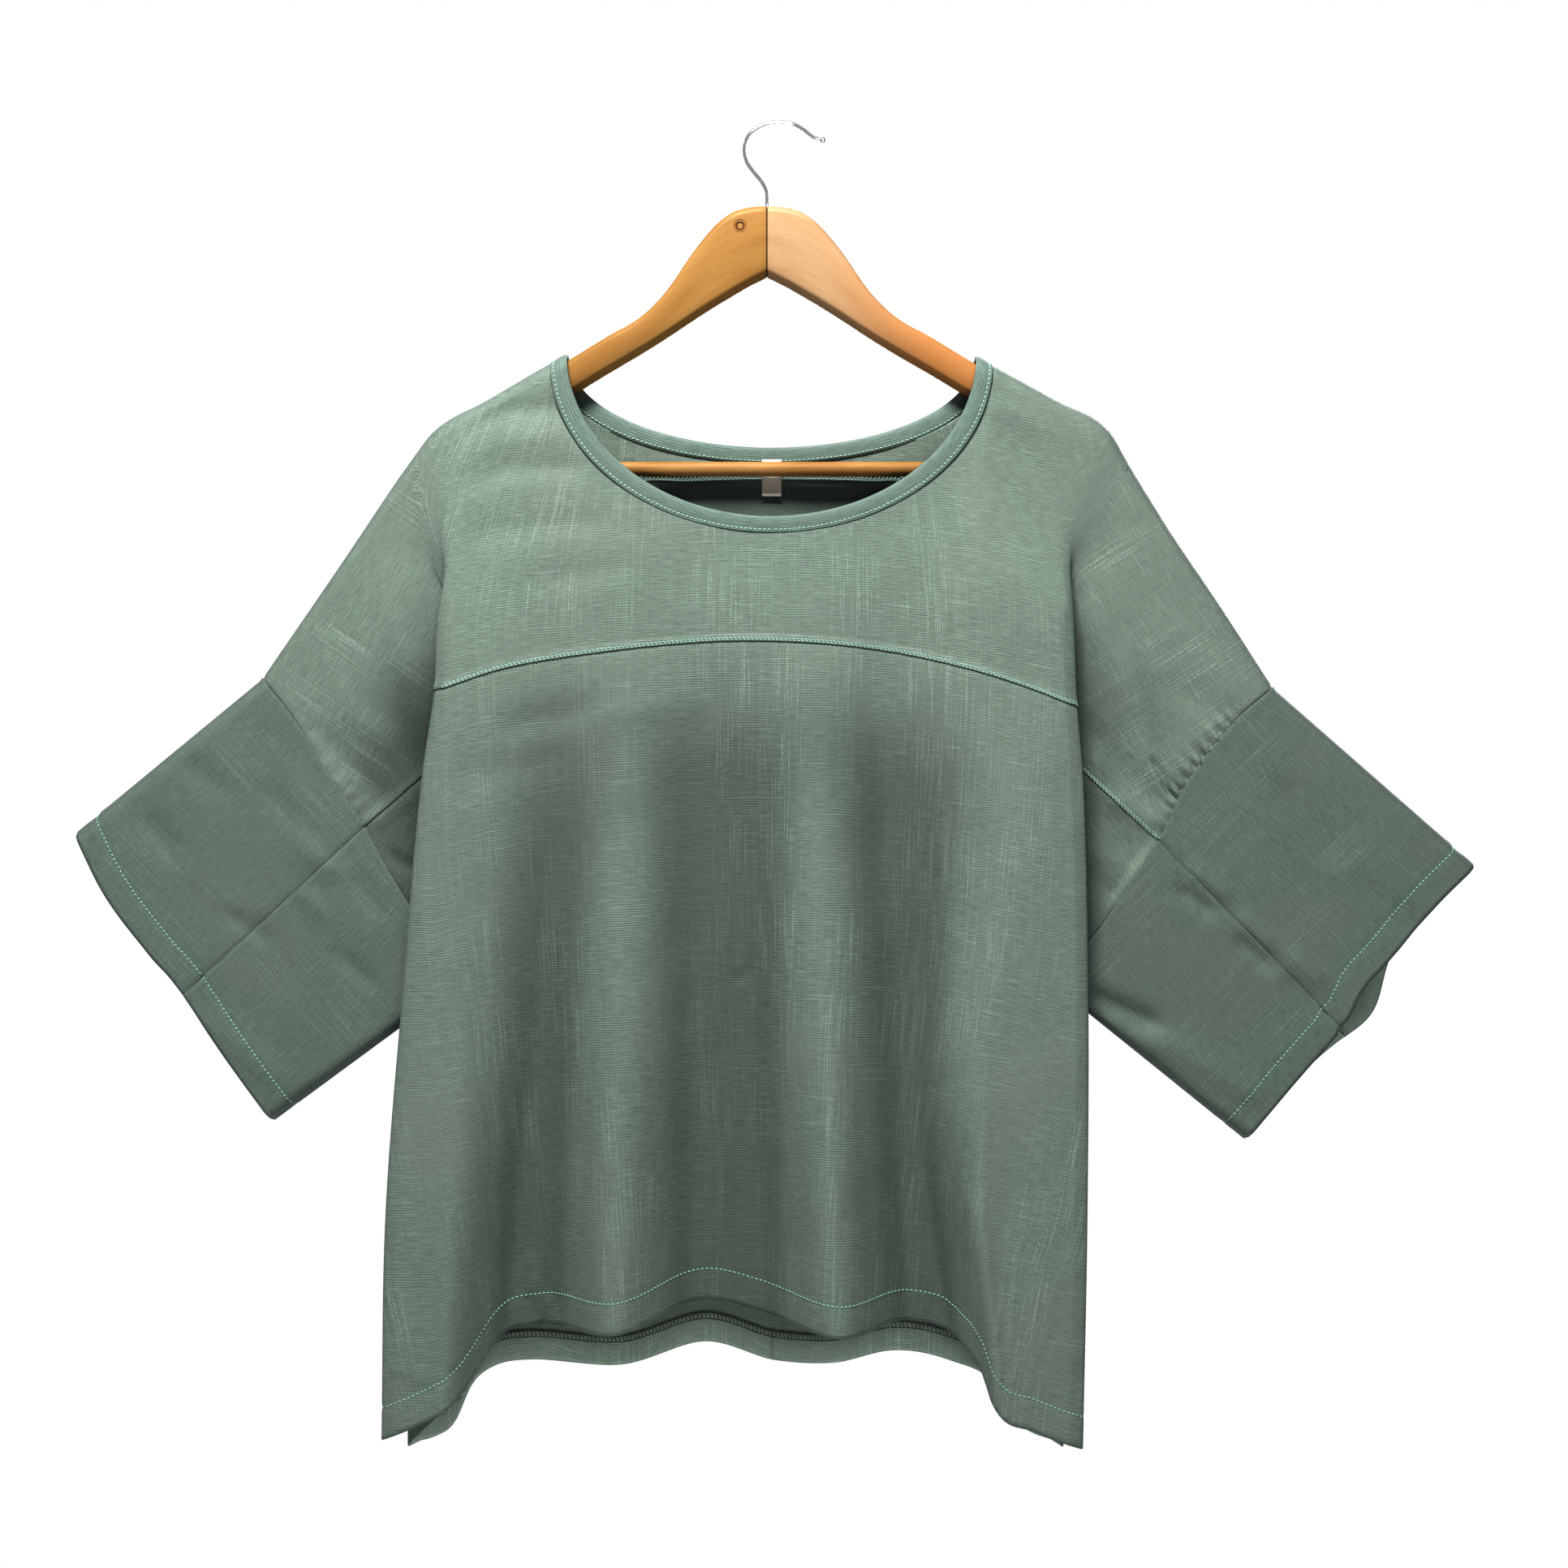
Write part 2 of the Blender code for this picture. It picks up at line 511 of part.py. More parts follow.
def make_sleeve_end(side):
    """The two panels of a sleeve end, parted by the mid seams in front and behind."""
    for part, levels in (("upper", YOKE_LEVELS), ("lower", FLAP_LEVELS)):
        front = sleeve_rows(side, "front", levels, SLEEVE_STEPS)
        back = sleeve_rows(side, "back", levels, SLEEVE_STEPS)
        seam = -1 if part == "upper" else 0
        for layer in (front, back):
            draw_in(layer, column=seam)
            draw_in(layer, row=0, by=SEAM_GAP / 2 if part == "upper" else flap_gaps())
        cloth_object(f"sleeve_{part}_{side}", [front, back], material("cuff_cloth"))


def neck_points(face, side, angles, inset):
    """A line round half the neck, set in from the yoke's neck edge."""
    out = -1 if side == "left" else 1
    angles = np.radians(angles)
    half_width = NECK_HALF_WIDTH - inset
    side_z = ridge_at(side, NECK_X + out * half_width)[0]
    x = NECK_X + out * half_width * np.sin(angles)
    z = side_z + (NECK_BOTTOM[face] + inset - side_z) * np.cos(angles)
    y = np.full(len(x), read_table(FRONT_MIDDLE if face == "front" else BACK_MIDDLE, 0.0)[0])
    return bend_over(np.stack([x, y, z], -1), upper_fold(side), ridge_at(side, x)[..., 1])


def make_neck_binding():
    insets = (0, BINDING_WIDTH / 2, BINDING_WIDTH)
    grids = []
    for side in ("left", "right"):
        for face in ("front", "back"):
            grids.append(np.stack([neck_points(face, side, NECK_ANGLES, inset) for inset in insets], 1))
    return cloth_object("neck_binding", grids, material("binding"), BAND)


def make_size_label():
    """A bare woven tab that hangs from the back of the binding, inside the yoke."""
    top = NECK_BOTTOM["back"]
    inner = read_table(BACK_MIDDLE, 0.0)[0] - CLOTH / 2 - LABEL_WALL / 2 - LABEL_GAP
    across = NECK_X + np.array([-0.5, 0.5]) * LABEL_WIDTH
    down = top - np.array([0, 0.5, 1]) * LABEL_LENGTH
    grid = np.array([[(x, inner, z) for z in down] for x in across], float)
    return cloth_object("size_label", [grid], material("label"), LABEL_WALL)


# ---------------------------------------------------------------- the hanger

def cutter(name, start, end, radius):
    """A round cutter between two points, left out of the model itself."""
    start, end = np.array(start, float) * MM, np.array(end, float) * MM
    mesh = bpy.data.meshes.new(name)
    work = bmesh.new()
    bmesh.ops.create_cone(work, cap_ends=True, segments=BORE_SIDES, radius1=radius * MM, radius2=radius * MM,
                          depth=float(np.linalg.norm(end - start)))
    work.to_mesh(mesh)
    work.free()
    made = add_object(name, mesh, None)
    made.location = (start + end) / 2
    if abs(end[0] - start[0]) > abs(end[2] - start[2]):
        made.rotation_euler = (0, math.pi / 2, 0)
    made.hide_render = True
    made.display_type = "WIRE"
    return made


def arm_section(low, high):
    """Rounded rectangle of an arm's cross-section: depth, height."""
    half, radius = ARM_THICKNESS / 2, min(ARM_ROUND, (high - low) / 2 - 0.1)
    corners = ((half - radius, high - radius, 0), (radius - half, high - radius, 90),
               (radius - half, low + radius, 180), (half - radius, low + radius, 270))
    turns = np.radians(np.linspace(0, 90, ARM_CORNER_POINTS + 1))
    angles = [(y, z, math.radians(start) + turn) for y, z, start in corners for turn in turns]
    return [(y + radius * math.cos(angle), z + radius * math.sin(angle)) for y, z, angle in angles]


def make_arm(side, cutters, finish):
    out = -1 if side == "left" else 1
    sections = []
    for run, top, bottom in ARM_PROFILE:
        x = ARM_JOINT_X + out * max(run * ARM_STRETCH[side], ARM_JOINT_GAP / 2)
        sections.append([(x, y, z) for y, z in arm_section(bottom, top)])
    grid = np.array(sections) * MM
    work = bmesh.new()
    count, around = grid.shape[:2]
    points = [work.verts.new(point) for point in grid.reshape(-1, 3)]
    for row in range(count - 1):
        for turn in range(around):
            after = (turn + 1) % around
            work.faces.new([points[row * around + turn], points[row * around + after],
                            points[(row + 1) * around + after], points[(row + 1) * around + turn]])
    work.faces.new(points[:around])
    work.faces.new(points[-around:])
    bmesh.ops.recalc_face_normals(work, faces=work.faces)
    mesh = bpy.data.meshes.new(f"hanger_arm_{side}")
    work.to_mesh(mesh)
    work.free()
    made = add_object(f"hanger_arm_{side}", mesh, finish)
    for tool in cutters:
        cut = made.modifiers.new(tool.name, "BOOLEAN")
        cut.operation = "DIFFERENCE"
        cut.object = tool
    mesh.shade_smooth()
    mesh.set_sharp_from_angle(angle=math.radians(ARM_SHARP_ANGLE))
    return made


def make_bar():
    mesh = bpy.data.meshes.new("hanger_bar")
    work = bmesh.new()
    bmesh.ops.create_cone(work, cap_ends=True, segments=BAR_SIDES, radius1=BAR_RADIUS * MM,
                          radius2=BAR_RADIUS * MM, depth=2 * BAR_HALF_LENGTH * MM)
    work.to_mesh(mesh)
    work.free()
    made = add_object("hanger_bar", mesh, material("bar_wood", 0.55))
    made.rotation_euler = (0, math.pi / 2, 0)
    made.location = (ARM_JOINT_X * MM, 0, BAR_Z * MM)
    return made


def make_hook():
    """The wire hook with its ball end; its stem stands in a bore between the two arms."""
    rows = np.array(HOOK_ROUTE, float)
    bend, stem = rows[:-1], rows[-1]
    places = np.linspace(0, len(bend) - 1, (len(bend) - 1) * HOOK_SMOOTHING + 1)
    wire = np.vstack([smooth(np.arange(len(bend)), bend, places)[1:], stem])
    outwards = (bend[0] - wire[0]) / np.linalg.norm(bend[0] - wire[0])
    turns = np.radians(BALL_ANGLES)
    ball = bend[0] + BALL_RADIUS * np.cos(turns)[:, None] * outwards
    route = np.vstack([ball, wire])
    radii = np.concatenate([BALL_RADIUS * np.sin(turns), np.full(len(wire), WIRE_RADIUS)])
    curve = bpy.data.curves.new("hanger_hook", "CURVE")
    curve.dimensions = "3D"
    curve.bevel_depth = WIRE_RADIUS * MM
    curve.bevel_resolution = 2
    curve.use_fill_caps = True
    line = curve.splines.new("POLY")
    line.points.add(len(route) - 1)
    for point, (x, z), radius in zip(line.points, route, radii):
        point.co = (x * MM, 0, z * MM, 1)
        point.radius = radius / WIRE_RADIUS
    finish = material("chrome", 0.15, 1.0)
    curve.materials.append(finish)
    made = bpy.data.objects.new("hanger_hook", curve)
    bpy.context.scene.collection.objects.link(made)
    return made


def make_hanger():
    bore = BORE_CLEARANCE
    reach = BAR_HALF_LENGTH + bore
    bar_start, bar_end = (ARM_JOINT_X - reach, 0, BAR_Z), (ARM_JOINT_X + reach, 0, BAR_Z)
    bar_bore = cutter("bar_bore", bar_start, bar_end, BAR_RADIUS + bore)
    stem_end = (ARM_JOINT_X, 0, STEM_END_Z - bore)
    stem_bore = cutter("stem_bore", stem_end, (ARM_JOINT_X, 0, 0), WIRE_RADIUS + bore)
    make_arm("left", (bar_bore, stem_bore), material("golden_wood", 0.35))
    make_arm("right", (bar_bore, stem_bore), material("pale_wood", 0.35))
    make_bar()
    make_hook()


def main():
    for old in list(bpy.data.objects):
        bpy.data.objects.remove(old)
    make_yoke()
    make_body("body_front", "front")
    make_body("body_back", "back")
    for side in ("left", "right"):
        make_sleeve_end(side)
    make_neck_binding()
    make_size_label()
    make_hanger()


main()
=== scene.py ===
"""The looks of a boxy batwing blouse that hangs on a two-piece wooden hanger.

+Z is up, the front faces -Y and the origin is the inner top of the hanger's hook. Sizes are in millimetres
and MM turns them into metres.

The cloth is one net of lines that run down the garment. From the middle outwards they are the front
panel, the fold edge of the body, the tuck behind it, the layer that runs out to the sleeve, and the
cuff seam. A place down a line is its level: 0 on the shoulder ridge or neckline, 1 at the yoke seam,
UNDERARM where the sleeve's lower fold meets the side seam, and 2 at the hem.
"""
import math

import bmesh
import bpy
import numpy as np
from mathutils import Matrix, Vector


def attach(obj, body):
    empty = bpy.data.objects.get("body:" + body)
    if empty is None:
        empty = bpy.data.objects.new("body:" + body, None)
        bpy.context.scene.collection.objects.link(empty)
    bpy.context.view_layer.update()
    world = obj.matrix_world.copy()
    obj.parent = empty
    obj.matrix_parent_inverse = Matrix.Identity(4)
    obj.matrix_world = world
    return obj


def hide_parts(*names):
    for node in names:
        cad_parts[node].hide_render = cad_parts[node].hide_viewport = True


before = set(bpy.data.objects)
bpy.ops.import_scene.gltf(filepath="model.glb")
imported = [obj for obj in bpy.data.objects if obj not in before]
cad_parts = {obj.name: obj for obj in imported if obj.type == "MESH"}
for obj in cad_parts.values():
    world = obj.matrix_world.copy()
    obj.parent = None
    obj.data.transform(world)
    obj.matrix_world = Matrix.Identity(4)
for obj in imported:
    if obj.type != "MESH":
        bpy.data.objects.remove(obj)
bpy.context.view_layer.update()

MM = 0.001
TINY = 1e-9             # keeps a division by a length of nothing from failing

# Cloth
CLOTH = 0.6             # thickness that one layer shows
UNDERARM = 1.36         # level of the underarm point
FOLD_REACH = (5.0, 8.0) # least and most distance from a fold edge to the flat cloth beside it
FOLD_LIFT = 4.5         # how far a folded layer bows away from its edge
FLAP_START = 0.35       # the flap has left the tuck by this share of its width at most
FLAP_LIFT = 0.3         # and stands off the tuck by this share of its width at most
BEND_START = 0.3        # share of the half panel where its columns begin to follow the fold edge
FOLD_ROUND = 9.0        # radius of the cloth over the shoulder ridge and the sleeve's folds
RIDGE_POINTS = 120
WELD = 0.02             # points this near to one another are one point
SLEEVE_ROUND = 8.0      # how far each sleeve layer stands off its middle plane
SLEEVE_MIDDLE = -6.0    # depth of the plane between the sleeve's two layers
HEM_OPENING = 3.0       # how much further each sleeve layer stands off at the sleeve hem
SLEEVE_THREADS_FROM = 260.0     # where the upper sleeve's threads are counted from, across the cloth

# Neck
NECK_X = -6.0           # middle of the neckline
NECK_HALF_WIDTH = 142.0
NECK_BOTTOM = {"front": -266.5, "back": -219.0}
NECK_SHARE = {"left": 0.72, "right": 0.86}  # share of each half panel that lies below the neck opening
NECK_SPREAD = 0.8       # below 1 the columns stand closer at the middle of the neck than at its sides
NECK_GAP = 1.0          # from the binding's sewn edge to the yoke's
SHOULDER_STEPS = 5      # one part in so many beside the fold edge says which way the cloth comes to it
NECK_STATIONS = np.linspace(0, 90, 46)
# Cross-section of the binding: how far up from its sewn edge, how far out of the cloth
BINDING_SECTION = ((-1.6, 0.35), (-1.6, 0.7), (-0.9, 0.95), (0.4, 0.75), (1.6, 1.0), (4.5, 1.25), (7.4, 1.1),
                   (8.8, 0.7), (9.3, 0.0), (8.8, -0.7), (7.4, -1.0), (4.5, -1.1), (0.4, -0.85), (-1.6, -0.7),
                   (-1.6, -0.35))
BINDING_STITCH_AT = 0.4     # how far up from its sewn edge the binding is stitched
BINDING_STITCH_RISES = (0.8, -0.9)  # of the stitches outside and inside
LABEL_WIDTH, LABEL_LENGTH = 13.0, 24.5
LABEL_THICKNESS = 0.4
LABEL_TOP = 1.2         # how far its top reaches up into the binding
LABEL_DEPTH = 1.6       # how far it stands before the cloth behind it
LABEL_CURL, LABEL_CURL_LENGTH = 1.4, 23.0   # it curls forward by the first over the second
LABEL_BOW, LABEL_BOW_ANGLE = 0.25, 4.0      # height of the wave across it, and radians of it to the width
LABEL_COLUMNS, LABEL_ROWS = 9, 19

# Sewing
LAP_WIDTH = 3.2         # how far from a lapped edge the layers under it raise it
LAP_RISE = 0.85
LAP_SLOPE = (1.6, 0.8)  # shares of that width between which the raised cloth comes down again
LAP_EDGE = (-0.6, 0.8)  # distances from the edge itself between which it comes up
CUFF_LAP_RISE, CUFF_LAP_WIDTH = 0.4, 1.6
UNDERLAP_SINK = 0.75    # how far in the lower piece lies there
CUFF_LAP = 0.008        # share of the sleeve end by which its edge overlaps the yoke
SEAM_REACH = 1.3        # how far from a plain seam the cloth is drawn in
CUFF_REACH = 3.0        # how far from its edge the yoke dips under the sleeve end
HEM_DEPTH = {"body": 20.0, "sleeve": 17.0}
HEM_PAINTED_LIGHT = {"body": 1.2, "sleeve": 1.5}    # painted light: how much paler a hem's inner layer is painted than the right side
HEM_LAYER = 0.65        # between the outer layer of a hem and the layer turned up inside it
HEM_TURN = 0.8          # how far up from the edge that inner layer lies flat again
HEM_LINES = 9
HEM_FADE = 0.9          # share of that painted light that it has lost where it ends, further up the hem
HEM_OVERLOCK = (1.0, 5.0)   # how far below its end its overlocked stitches run
STITCH_PITCH = 3.0
STITCH_LENGTH = 2.1
STITCH_RADIUS = 0.48
STITCH_SIDES = 6
# Rings of one stitch: share of the way along it, width and height
STITCH_RINGS = ((-0.5, 0.4, -0.25), (-0.2, 1.0, 0.05), (0.2, 1.0, 0.05), (0.5, 0.4, -0.25))
OVERLOCK_PITCH = 2.7
OVERLOCK_RADIUS = 0.33
YOKE_STITCHES = (0.7, 2.1)  # how far above the yoke's edge its slanting stitches run
YOKE_GROOVE = 0.25          # how deep they draw it in
INSIDE_STITCHES = (0.6, 4.0)    # the same for the stitches of the overlocked edge inside
MID_SEAM_SINK = 0.85        # how deep the seam along the middle of a sleeve end draws the cloth in

# Mesh columns and rows
HOLD = 0.003            # share of a panel between its edge and the line of points that keeps that edge crisp
PANEL_SHARES = 64       # columns below the neck opening
SHOULDER_SHARES = 22    # columns from there to the fold edge
# Steps past the panel, counted as Sheet.rows says: round the fold to the tuck, and on to the cuff seam
AT_FOLD, AT_TUCK, AT_FLAP, AT_CUFF = 1, 3, 4, 6
FOLD_STEPS = (*np.linspace(0, AT_FOLD, 9)[1:], *np.linspace(AT_FOLD, AT_TUCK, 21)[1:])
FLAP_STEPS = (*np.linspace(AT_TUCK, AT_FLAP, 9)[1:], *np.linspace(AT_FLAP, AT_CUFF, 41)[1:-1],
              AT_CUFF - 2 * HOLD, AT_CUFF)
YOKE_LEVELS = {face: np.append(np.linspace(0, 1, rows)[:-1], [1 - HOLD, 1])
               for face, rows in (("front", 101), ("back", 41))}
UNDERLAP_LEVELS = (0.965, 0.985)    # of the body's cloth that lies under the yoke's edge
FLAP_LEVELS = np.concatenate([UNDERLAP_LEVELS, np.linspace(1, UNDERARM, 51)])
BODY_LEVELS = np.concatenate([FLAP_LEVELS, np.linspace(UNDERARM, 2, 91)[1:]])
SLEEVE_ALONG = np.concatenate([[-CUFF_LAP, HOLD - CUFF_LAP], np.linspace(0, 1, 71)[1:]])
SLEEVE_LEVELS = {"upper": np.append(np.linspace(0, 1, 49)[:-1], [1 - HOLD, 1]),
                 "lower": np.append([1, 1 + HOLD], np.linspace(1, UNDERARM, 45)[1:])}
# Columns of each half whose yoke edge is stitched, None for all of them
SHOWN_STITCHES = {"left": PANEL_SHARES + SHOULDER_SHARES + 4, "right": None}

# The shoulder ridge and the overarm fold: x, z, y
RIDGE = {
    "left": ((-6, -68, 0), (-100, -131, 0), (-148, -155.5, 0), (-192, -181, 0), (-226, -201, 0),
             (-240, -219, -1), (-285, -286, -3), (-337, -363, -6)),
    "right": ((-6, -68, 0), (90, -132, 0), (138, -158, 0), (180, -181, 0), (214, -201, 0),
              (227, -223, -1), (253, -266, -3), (285, -314, -4), (320, -369, -6)),
}
# Fold edge of the body and apex of the tuck behind it: z, x, y
FRONT_EDGE = {
    "left": ((-199, -221, -9), (-244, -222, -14), (-292, -217, -19), (-334, -221, -24), (-372, -222, -27),
             (-425, -229, -29), (-555, -240, -33), (-706, -250, -42), (-844, -251, -50)),
    "right": ((-199, 212, -9), (-260, 190, -14), (-292, 187, -19), (-323, 188, -24), (-382, 190, -27),
              (-423, 193, -29), (-555, 196, -33), (-706, 194, -42), (-850, 190, -50)),
}
FRONT_TUCK = {
    "left": ((-216, -242, -9), (-260, -236, -11), (-305, -217, -14), (-352, -206, -17), (-394, -197, -18),
             (-441, -194, -18), (-540, -200, -18)),
    "right": ((-223, 227, -9), (-262, 208, -11), (-300, 188, -14), (-352, 173, -17), (-396, 166, -18),
              (-441, 163, -18), (-540, 168, -18)),
}
BACK_EDGE = {
    "left": ((-199, -221, 9), (-292, -216, 12.5), (-359, -220, 17), (-555, -236, 19.5), (-706, -245, 21.5),
             (-866, -247, 24)),
    "right": ((-199, 212, 9), (-292, 186, 12.5), (-362, 187, 17), (-555, 192, 19.5), (-706, 190, 21.5),
              (-870, 187, 24)),
}
BACK_TUCK = {
    "left": ((-216, -242, 9), (-305, -217, 8), (-384, -197, 7), (-441, -194, 6), (-540, -200, 6)),
    "right": ((-223, 227, 9), (-300, 188, 8), (-386, 166, 7), (-441, 163, 6), (-540, 168, 6)),
}
# Side seam from the underarm point to the hem, shared by front and back: z, x, y
SIDE_SEAM = {
    "left": ((-557, -204, -6), (-711, -204, -11), (-832, -205, -15)),
    "right": ((-557, 172, -6), (-711, 154, -11), (-838, 147, -15)),
}
# Cuff seam from the overarm fold past the yoke seam (level 1) to the underarm point: level, x, z
CUFF_SEAM = {
    "left": ((0, -337, -363), (0.33, -314, -392), (0.67, -291, -429), (1, -270, -459),
             (1.12, -255, -487), (1.25, -232, -523), (UNDERARM, -204, -557)),
    "right": ((0, 320, -369), (0.33, 292, -394), (0.67, 263, -432), (1, 245, -468),
              (1.12, 227, -495), (1.25, 203, -530), (UNDERARM, 172, -557)),
}
# Sleeve hem from its upper corner past the mid seam (level 1) to its lower corner: level, x, z
SLEEVE_HEM = {
    "left": ((0, -457, -462), (0.3, -437, -502), (0.67, -408, -541), (1, -386, -567),
             (1.18, -358, -609), (UNDERARM, -329, -649)),
    "right": ((0, 450, -483), (0.3, 422, -511), (0.67, 390, -548), (1, 357, -583),
              (1.18, 333, -621), (UNDERARM, 301, -661)),
}
# Yoke seam across the front and the back: x, z
FRONT_SEAM = ((-222, -372), (-178, -357), (-116, -346), (-48, -339), (-6, -338.5), (62, -344),
              (98, -351), (135, -361), (166, -372), (190, -382))
BACK_SEAM = ((-222, -359), (-150, -281), (-99, -235), (-60, -232), (60, -232), (84, -235),
             (125, -285), (190, -362))
# Depth of that seam at the tuck: z
SEAM_AT_TUCK = {"front": -395, "back": -385}
# Hem edge: x, z
FRONT_HEM = ((-251, -844), (-229, -835), (-205, -821), (-194, -806), (-184, -791), (-156, -782),
             (-103, -780), (-47, -766), (-3, -776), (38, -782), (85, -780), (113, -789), (128, -805),
             (134, -823), (161, -839), (190, -850))
BACK_HEM = ((-251, -869), (-229, -864), (-217, -855), (-205, -829), (-190, -816), (-165, -811),
            (-107, -817), (-50, -799), (-3, -812), (35, -816), (75, -805), (113, -812), (140, -826),
            (158, -855), (190, -870))
HEM_AT_SIDE_SEAM = {"left": -826, "right": -836}
# Folds of the panels: x at the yoke seam, x at the hem, rise at the seam, rise at the hem, half width
FRONT_FOLDS = (
    (-100, -106, 2, 41, 52),
    (20, 36, 3, 43, 50),
)
BACK_FOLDS = (
    (-90, -112, 1, 10, 48),
    (30, 33, 1, 11, 46),
)
# The flank of a panel's outer flap, as shares of its half width: level, where it starts, where it ends
FRONT_FLAPS = {
    "left": ((1, 0.35, 1.0), (1.35, 0.58, 0.94), (1.7, 0.66, 0.87), (2, 0.71, 0.88)),
    "right": ((1, 0.35, 1.0), (1.35, 0.46, 0.8), (1.7, 0.48, 0.7), (2, 0.6, 0.78)),
}
BACK_FLAPS = {side: ((1, 0.3, 1.0), (2, 0.7, 1.0)) for side in ("left", "right")}
# Depth of the panel's middle: level, y
FRONT_MIDDLE = ((0, -12), (1, -16), (1.4, -14), (2, -5))
BACK_MIDDLE = ((0, 10.5), (1, 11), (1.4, 15), (2, 19))

SIDES, FACES = ("left", "right"), ("front", "back")
OUT = {"left": -1, "right": 1}          # which way x runs out from the middle
OUTWARDS = {"front": -1, "back": 1}     # which way y runs out of the blouse
EDGE = {"front": FRONT_EDGE, "back": BACK_EDGE}
TUCK = {"front": FRONT_TUCK, "back": BACK_TUCK}
SEAM = {"front": FRONT_SEAM, "back": BACK_SEAM}
HEM = {"front": FRONT_HEM, "back": BACK_HEM}
FOLDS = {"front": FRONT_FOLDS, "back": BACK_FOLDS}
FLAPS = {"front": FRONT_FLAPS, "back": BACK_FLAPS}
MIDDLE = {"front": FRONT_MIDDLE, "back": BACK_MIDDLE}

# Hanger: x from the joint line, top z, bottom z of one arm
ARM_PROFILE = ((0, -54, -100), (12, -55, -106), (24, -59, -113), (34, -67, -119), (48, -84, -128),
               (66, -110, -140), (82, -126, -150), (104, -139, -163), (135, -158, -182),
               (168, -177, -202), (190, -190, -226), (205, -199, -237), (217, -208, -231))
ARM_STRETCH = {"left": 1.0, "right": 1.02}
ARM_JOINT_X = -9.0
ARM_THICKNESS = 13.5
ARM_ROUND = 5.5
ARM_CHAMFER = 6.0       # of the lower edge in front
ARM_FLAT = 3            # how soon a section leaves its rounded edges for its flat faces
ARM_LEAST_FLAT = 0.1    # what an edge leaves of a face at least
ARM_BELOW = 0.02        # the chamfer begins this far past the quarter
# Rounded ends of an arm: distance from the end, how far the outline is set in there
ARM_JOINT_END = ((0, 0.7), (0.45, 0.15))
ARM_TIP = ((0.4, 0.5), (0, 2.0))
ARM_PLAIN = (1.2, 1.5)  # distances from joint and tip between which the outline is full
ARM_STATIONS, ARM_SIDES = 61, 40
GRAIN_FOLLOWS = 0.75    # how closely the grain follows the middle of an arm
GRAIN_TURNS = 0.3       # and how far it shifts through its thickness
PLUG = (-26.5, -67.8, 4.2)     # x, z and radius of the round plug in the left arm
# Rings of the plug: share of its radius, how far it stands out
PLUG_RINGS = ((0, -1.0), (0.3, -0.9), (0.45, 0.05), (0.72, 0.1), (0.84, -0.5), (0.9, -0.5), (1.0, 0.1),
              (1.05, -0.4))
ROUND_SIDES = 32        # of the plug and the bar
BAR_RADIUS = 4.8
BAR_Z = -225.3
BAR_HALF_LENGTH = 208.0
BAR_STATIONS = 121
BAR_UNEVEN = ((0.012, 0.21, 0.0), (1.0, 0.047, 1.0))    # two waves whose product the turned bar swells by
WIRE_RADIUS = 1.15
WIRE_SIDES = 20
BALL_RADIUS = 2.0
BALL_ARC = np.radians(np.linspace(2, 140, 16))  # from the ball's tip to where the wire leaves it
HOOK_STATIONS = 8       # between two points of its route
HOOK_IN_BALL = 2        # stations of the wire that lie inside the ball
STEM_END_Z = -74.0
# Hook wire from its ball end over the rod to the stem: x, z
HOOK_ROUTE = ((27.5, -10.6), (21, -8.4), (14.5, -3.4), (7.5, 0.3), (0, 1.15), (-7, 0.8), (-13, -1.2),
              (-18.5, -4.8), (-22.4, -10), (-23.9, -17), (-22, -25), (-17.5, -31.5), (-12.6, -37.5),
              (-9.6, -43), (-9, -48), (-9, STEM_END_Z))


# ---------------------------------------------------------------- smooth lines

def smooth(knots, values, places):
    """Reads a smooth curve through the values, given at rising knots, at the places asked for."""
    knots = np.asarray(knots, float)
    values = np.asarray(values, float)
    places = np.clip(np.asarray(places, float), knots[0], knots[-1])
    chords = np.diff(values, axis=0) / np.diff(knots).reshape((-1,) + (1,) * (values.ndim - 1))
    slopes = np.concatenate([chords[:1], (chords[1:] + chords[:-1]) / 2, chords[-1:]])
    cell = np.clip(np.searchsorted(knots, places, side="right") - 1, 0, len(knots) - 2)
    length = knots[cell + 1] - knots[cell]
    t = (places - knots[cell]) / length
    shape = t.shape + (1,) * (values.ndim - 1)
    t, length = t.reshape(shape), length.reshape(shape)
    return ((2 * t ** 3 - 3 * t ** 2 + 1) * values[cell] + (t ** 3 - 2 * t ** 2 + t) * length * slopes[cell]
            + (3 * t ** 2 - 2 * t ** 3) * values[cell + 1] + (t ** 3 - t ** 2) * length * slopes[cell + 1])


def read_table(table, places):
    """Reads the other columns of a table at places along its first column, which may rise or fall."""
    rows = np.array(sorted(table), float)
    return smooth(rows[:, 0], rows[:, 1:], places)


def ease(start, end, value):
    """0 before the start, 1 after the end and a soft step between."""
    t = np.clip((value - start) / (end - start), 0, 1)
    return t * t * (3 - 2 * t)


def distance_to_line(x, z, line):
    """Shortest distance in the front view from each point to a line of points."""
    start, end = line[:-1], line[1:]
    along = end - start
    to_point = np.stack([x, z], -1)[..., None, :] - start
    share = np.clip((to_point * along).sum(-1) / (along * along).sum(-1), 0, 1)
    return np.sqrt(((to_point - share[..., None] * along) ** 2).sum(-1)).min(-1)


def roundness(distance, radius):
    """How far a layer has come off its fold line: 0 on the line and 1 a radius away from it."""
    return np.sqrt(1 - (1 - np.clip(distance / radius, 0, 1)) ** 2)


def ridge_at(side, x):
    """Height and depth of the shoulder ridge over x."""
    return read_table(RIDGE[side], x)


